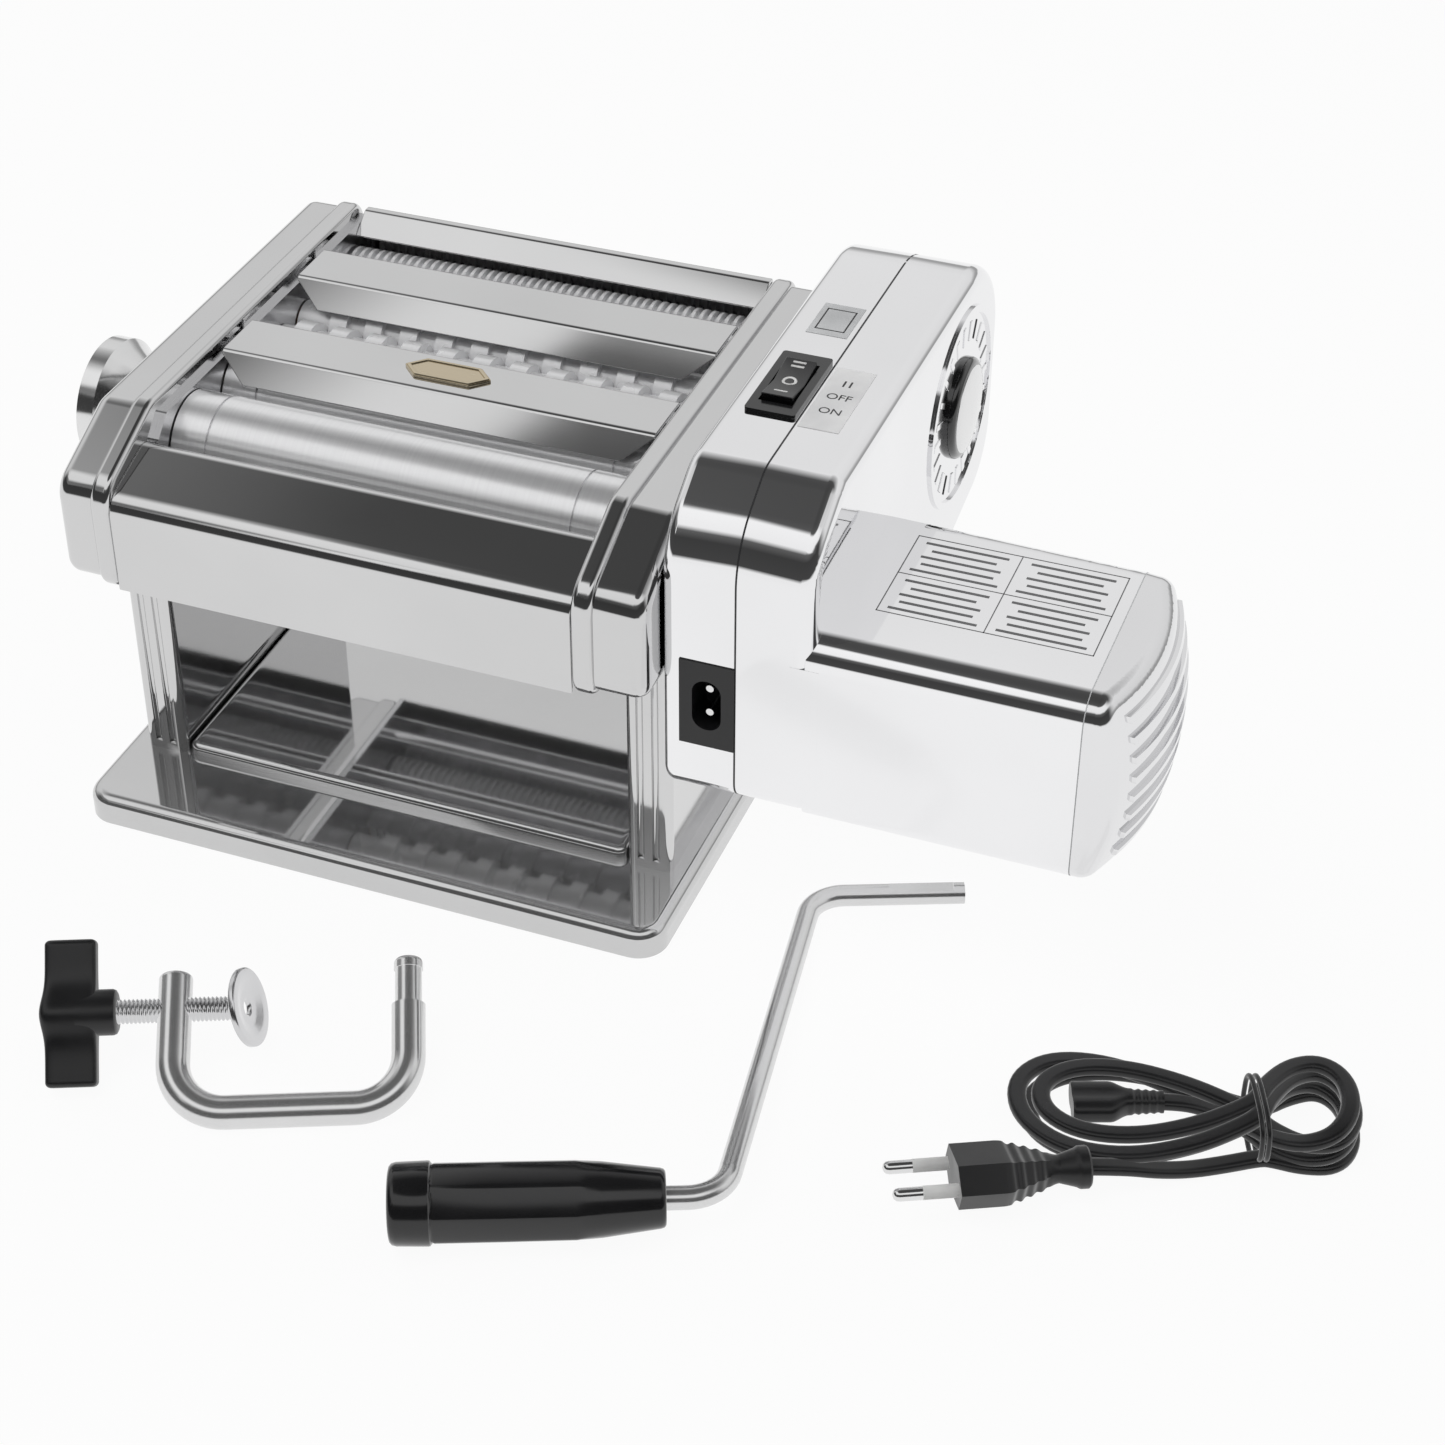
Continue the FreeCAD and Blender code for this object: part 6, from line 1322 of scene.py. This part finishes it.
def light_world(scene):
    """A studio round the object: bright and dark bands in front, soft grey behind, and white where the camera
    looks."""
    world = bpy.data.worlds.new("studio")
    world.use_nodes = True
    scene.world = world
    tree = world.node_tree
    coordinates = tree.nodes.new("ShaderNodeTexCoord")
    path = tree.nodes.new("ShaderNodeLightPath")
    axes = tree.nodes.new("ShaderNodeSeparateXYZ")
    feed(tree, axes.inputs["Vector"], coordinates.outputs["Generated"])
    bands = height_bands(tree, axes.outputs["Z"], FRONT_BANDS)
    front = mixed(tree, 1.0, bands, window_light(tree, axes), "LIGHTEN")
    back = height_bands(tree, axes.outputs["Z"], BACK_BANDS)
    room = mixed(tree, smooth_span(tree, axes.outputs["Y"], *FRONT_TO_BACK), front, back)
    seen = mixed(tree, path.outputs["Is Camera Ray"], room, WHITE)
    feed(tree, tree.nodes["Background"].inputs["Color"], seen)


def floor_finish():
    """White paper: a matt sheet that still shows a faint shadow, lifted to white where it is looked at."""
    material = bpy.data.materials.new("white_paper")
    material.use_nodes = True
    tree = material.node_tree
    sheet = tree.nodes["Principled BSDF"]
    feed(tree, sheet.inputs["Base Color"], PAPER)
    feed(tree, sheet.inputs["Roughness"], PAPER_ROUGHNESS)
    feed(tree, sheet.inputs["Specular IOR Level"], 0.0)
    glow = tree.nodes.new("ShaderNodeEmission")
    path = tree.nodes.new("ShaderNodeLightPath")
    seen = worked_out(tree, "MULTIPLY", path.outputs["Is Camera Ray"], PAPER_SEEN)
    share = worked_out(tree, "MULTIPLY_ADD", path.outputs["Is Glossy Ray"], PAPER_MIRRORED, seen)
    lifted = tree.nodes.new("ShaderNodeMixShader")
    for socket, term in zip(lifted.inputs, (share, sheet.outputs["BSDF"], glow.outputs["Emission"])):
        feed(tree, socket, term)
    feed(tree, tree.nodes["Material Output"].inputs["Surface"], lifted.outputs["Shader"])
    return material


def soft_box(scene, name, at, width, power):
    """A square area lamp that faces the middle of the object."""
    lamp = bpy.data.lights.new(name, "AREA")
    lamp.size = width
    lamp.energy = power
    holder = bpy.data.objects.new(name, lamp)
    holder.location = at
    aim = Vector(LIGHT_AIM) - Vector(at)
    holder.rotation_euler = aim.to_track_quat("-Z", "Y").to_euler()
    holder.visible_glossy = False
    scene.collection.objects.link(holder)


class STAGE_OT_studio(bpy.types.Operator):
    """Lays the white floor, hangs the lights and sets the camera"""
    bl_idname = "roller.studio"
    bl_label = "Studio"

    def execute(self, context):
        scene = context.scene
        settings = scene.stage_settings
        scene.view_settings.view_transform = "Standard"
        lens = bpy.data.cameras.new("camera")
        lens.lens = settings.lens
        lens.sensor_width = SENSOR_WIDTH
        lens.shift_x, lens.shift_y = CAMERA_SHIFT
        camera = bpy.data.objects.new("camera", lens)
        axes = Matrix((CAMERA_RIGHT, CAMERA_UP, CAMERA_BACK)).transposed()
        camera.matrix_world = Matrix.Translation(CAMERA_AT) @ axes.to_4x4()
        scene.collection.objects.link(camera)
        scene.camera = camera
        half = settings.floor / 2.0
        steps = np.linspace(-half, half, FLOOR_POINTS)
        x, y = np.meshgrid(steps, steps, indexing="ij")
        sheet = bpy.data.meshes.new("floor")
        corners = np.stack([x, y, np.zeros_like(x)], axis=-1).reshape(-1, 3)
        sheet.from_pydata(corners.tolist(), [], grid_faces(*x.shape, closed_columns=False))
        sheet.materials.append(floor_finish())
        floor = bpy.data.objects.new("floor", sheet)
        scene.collection.objects.link(floor)
        floor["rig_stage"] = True
        light_world(scene)
        soft_box(scene, "key_light", KEY_AT, KEY_WIDTH, settings.key_power)
        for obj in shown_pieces():
            obj.visible_glossy = obj.get("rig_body") not in LOOSE_BODIES
        return {"FINISHED"}


# Sidebar and registration

OPERATORS = (BODY_OT_sheetwork, BODY_OT_rollers, BODY_OT_dial, BODY_OT_badge_plate, MOTOR_OT_housing,
             MOTOR_OT_switch, MOTOR_OT_stickers, MOTOR_OT_round_badge, TOOL_OT_crank, TOOL_OT_clamp,
             LEAD_OT_lead, STAGE_OT_studio)
SETTINGS = {"roller_finishes": RollerFinishes, "lead_sizes": LeadSizes, "mark_sizes": MarkSizes,
            "stage_settings": StageSettings}


class VIEW3D_PT_pasta_roller(bpy.types.Panel):
    """Lists the pieces and their settings in the 3D view's sidebar"""
    bl_label = "Pasta Roller"
    bl_space_type = "VIEW_3D"
    bl_region_type = "UI"
    bl_category = "Pasta Roller"

    def draw(self, context):
        for operator in OPERATORS:
            self.layout.operator(operator.bl_idname)
        for name, group in SETTINGS.items():
            column = self.layout.column(heading=group.__doc__)
            for key in group.__annotations__:
                column.prop(getattr(context.scene, name), key)


def register():
    for group in SETTINGS.values():
        bpy.utils.register_class(group)
    for name, group in SETTINGS.items():
        setattr(bpy.types.Scene, name, bpy.props.PointerProperty(type=group))
    for item in (*OPERATORS, VIEW3D_PT_pasta_roller):
        bpy.utils.register_class(item)


def unregister():
    for item in (VIEW3D_PT_pasta_roller, *reversed(OPERATORS)):
        bpy.utils.unregister_class(item)
    for name in SETTINGS:
        delattr(bpy.types.Scene, name)
    for group in SETTINGS.values():
        bpy.utils.unregister_class(group)


def main():
    register()
    for operator in OPERATORS:
        family, call = operator.bl_idname.split(".")
        getattr(getattr(bpy.ops, family), call)()


if __name__ == "__main__":
    main()
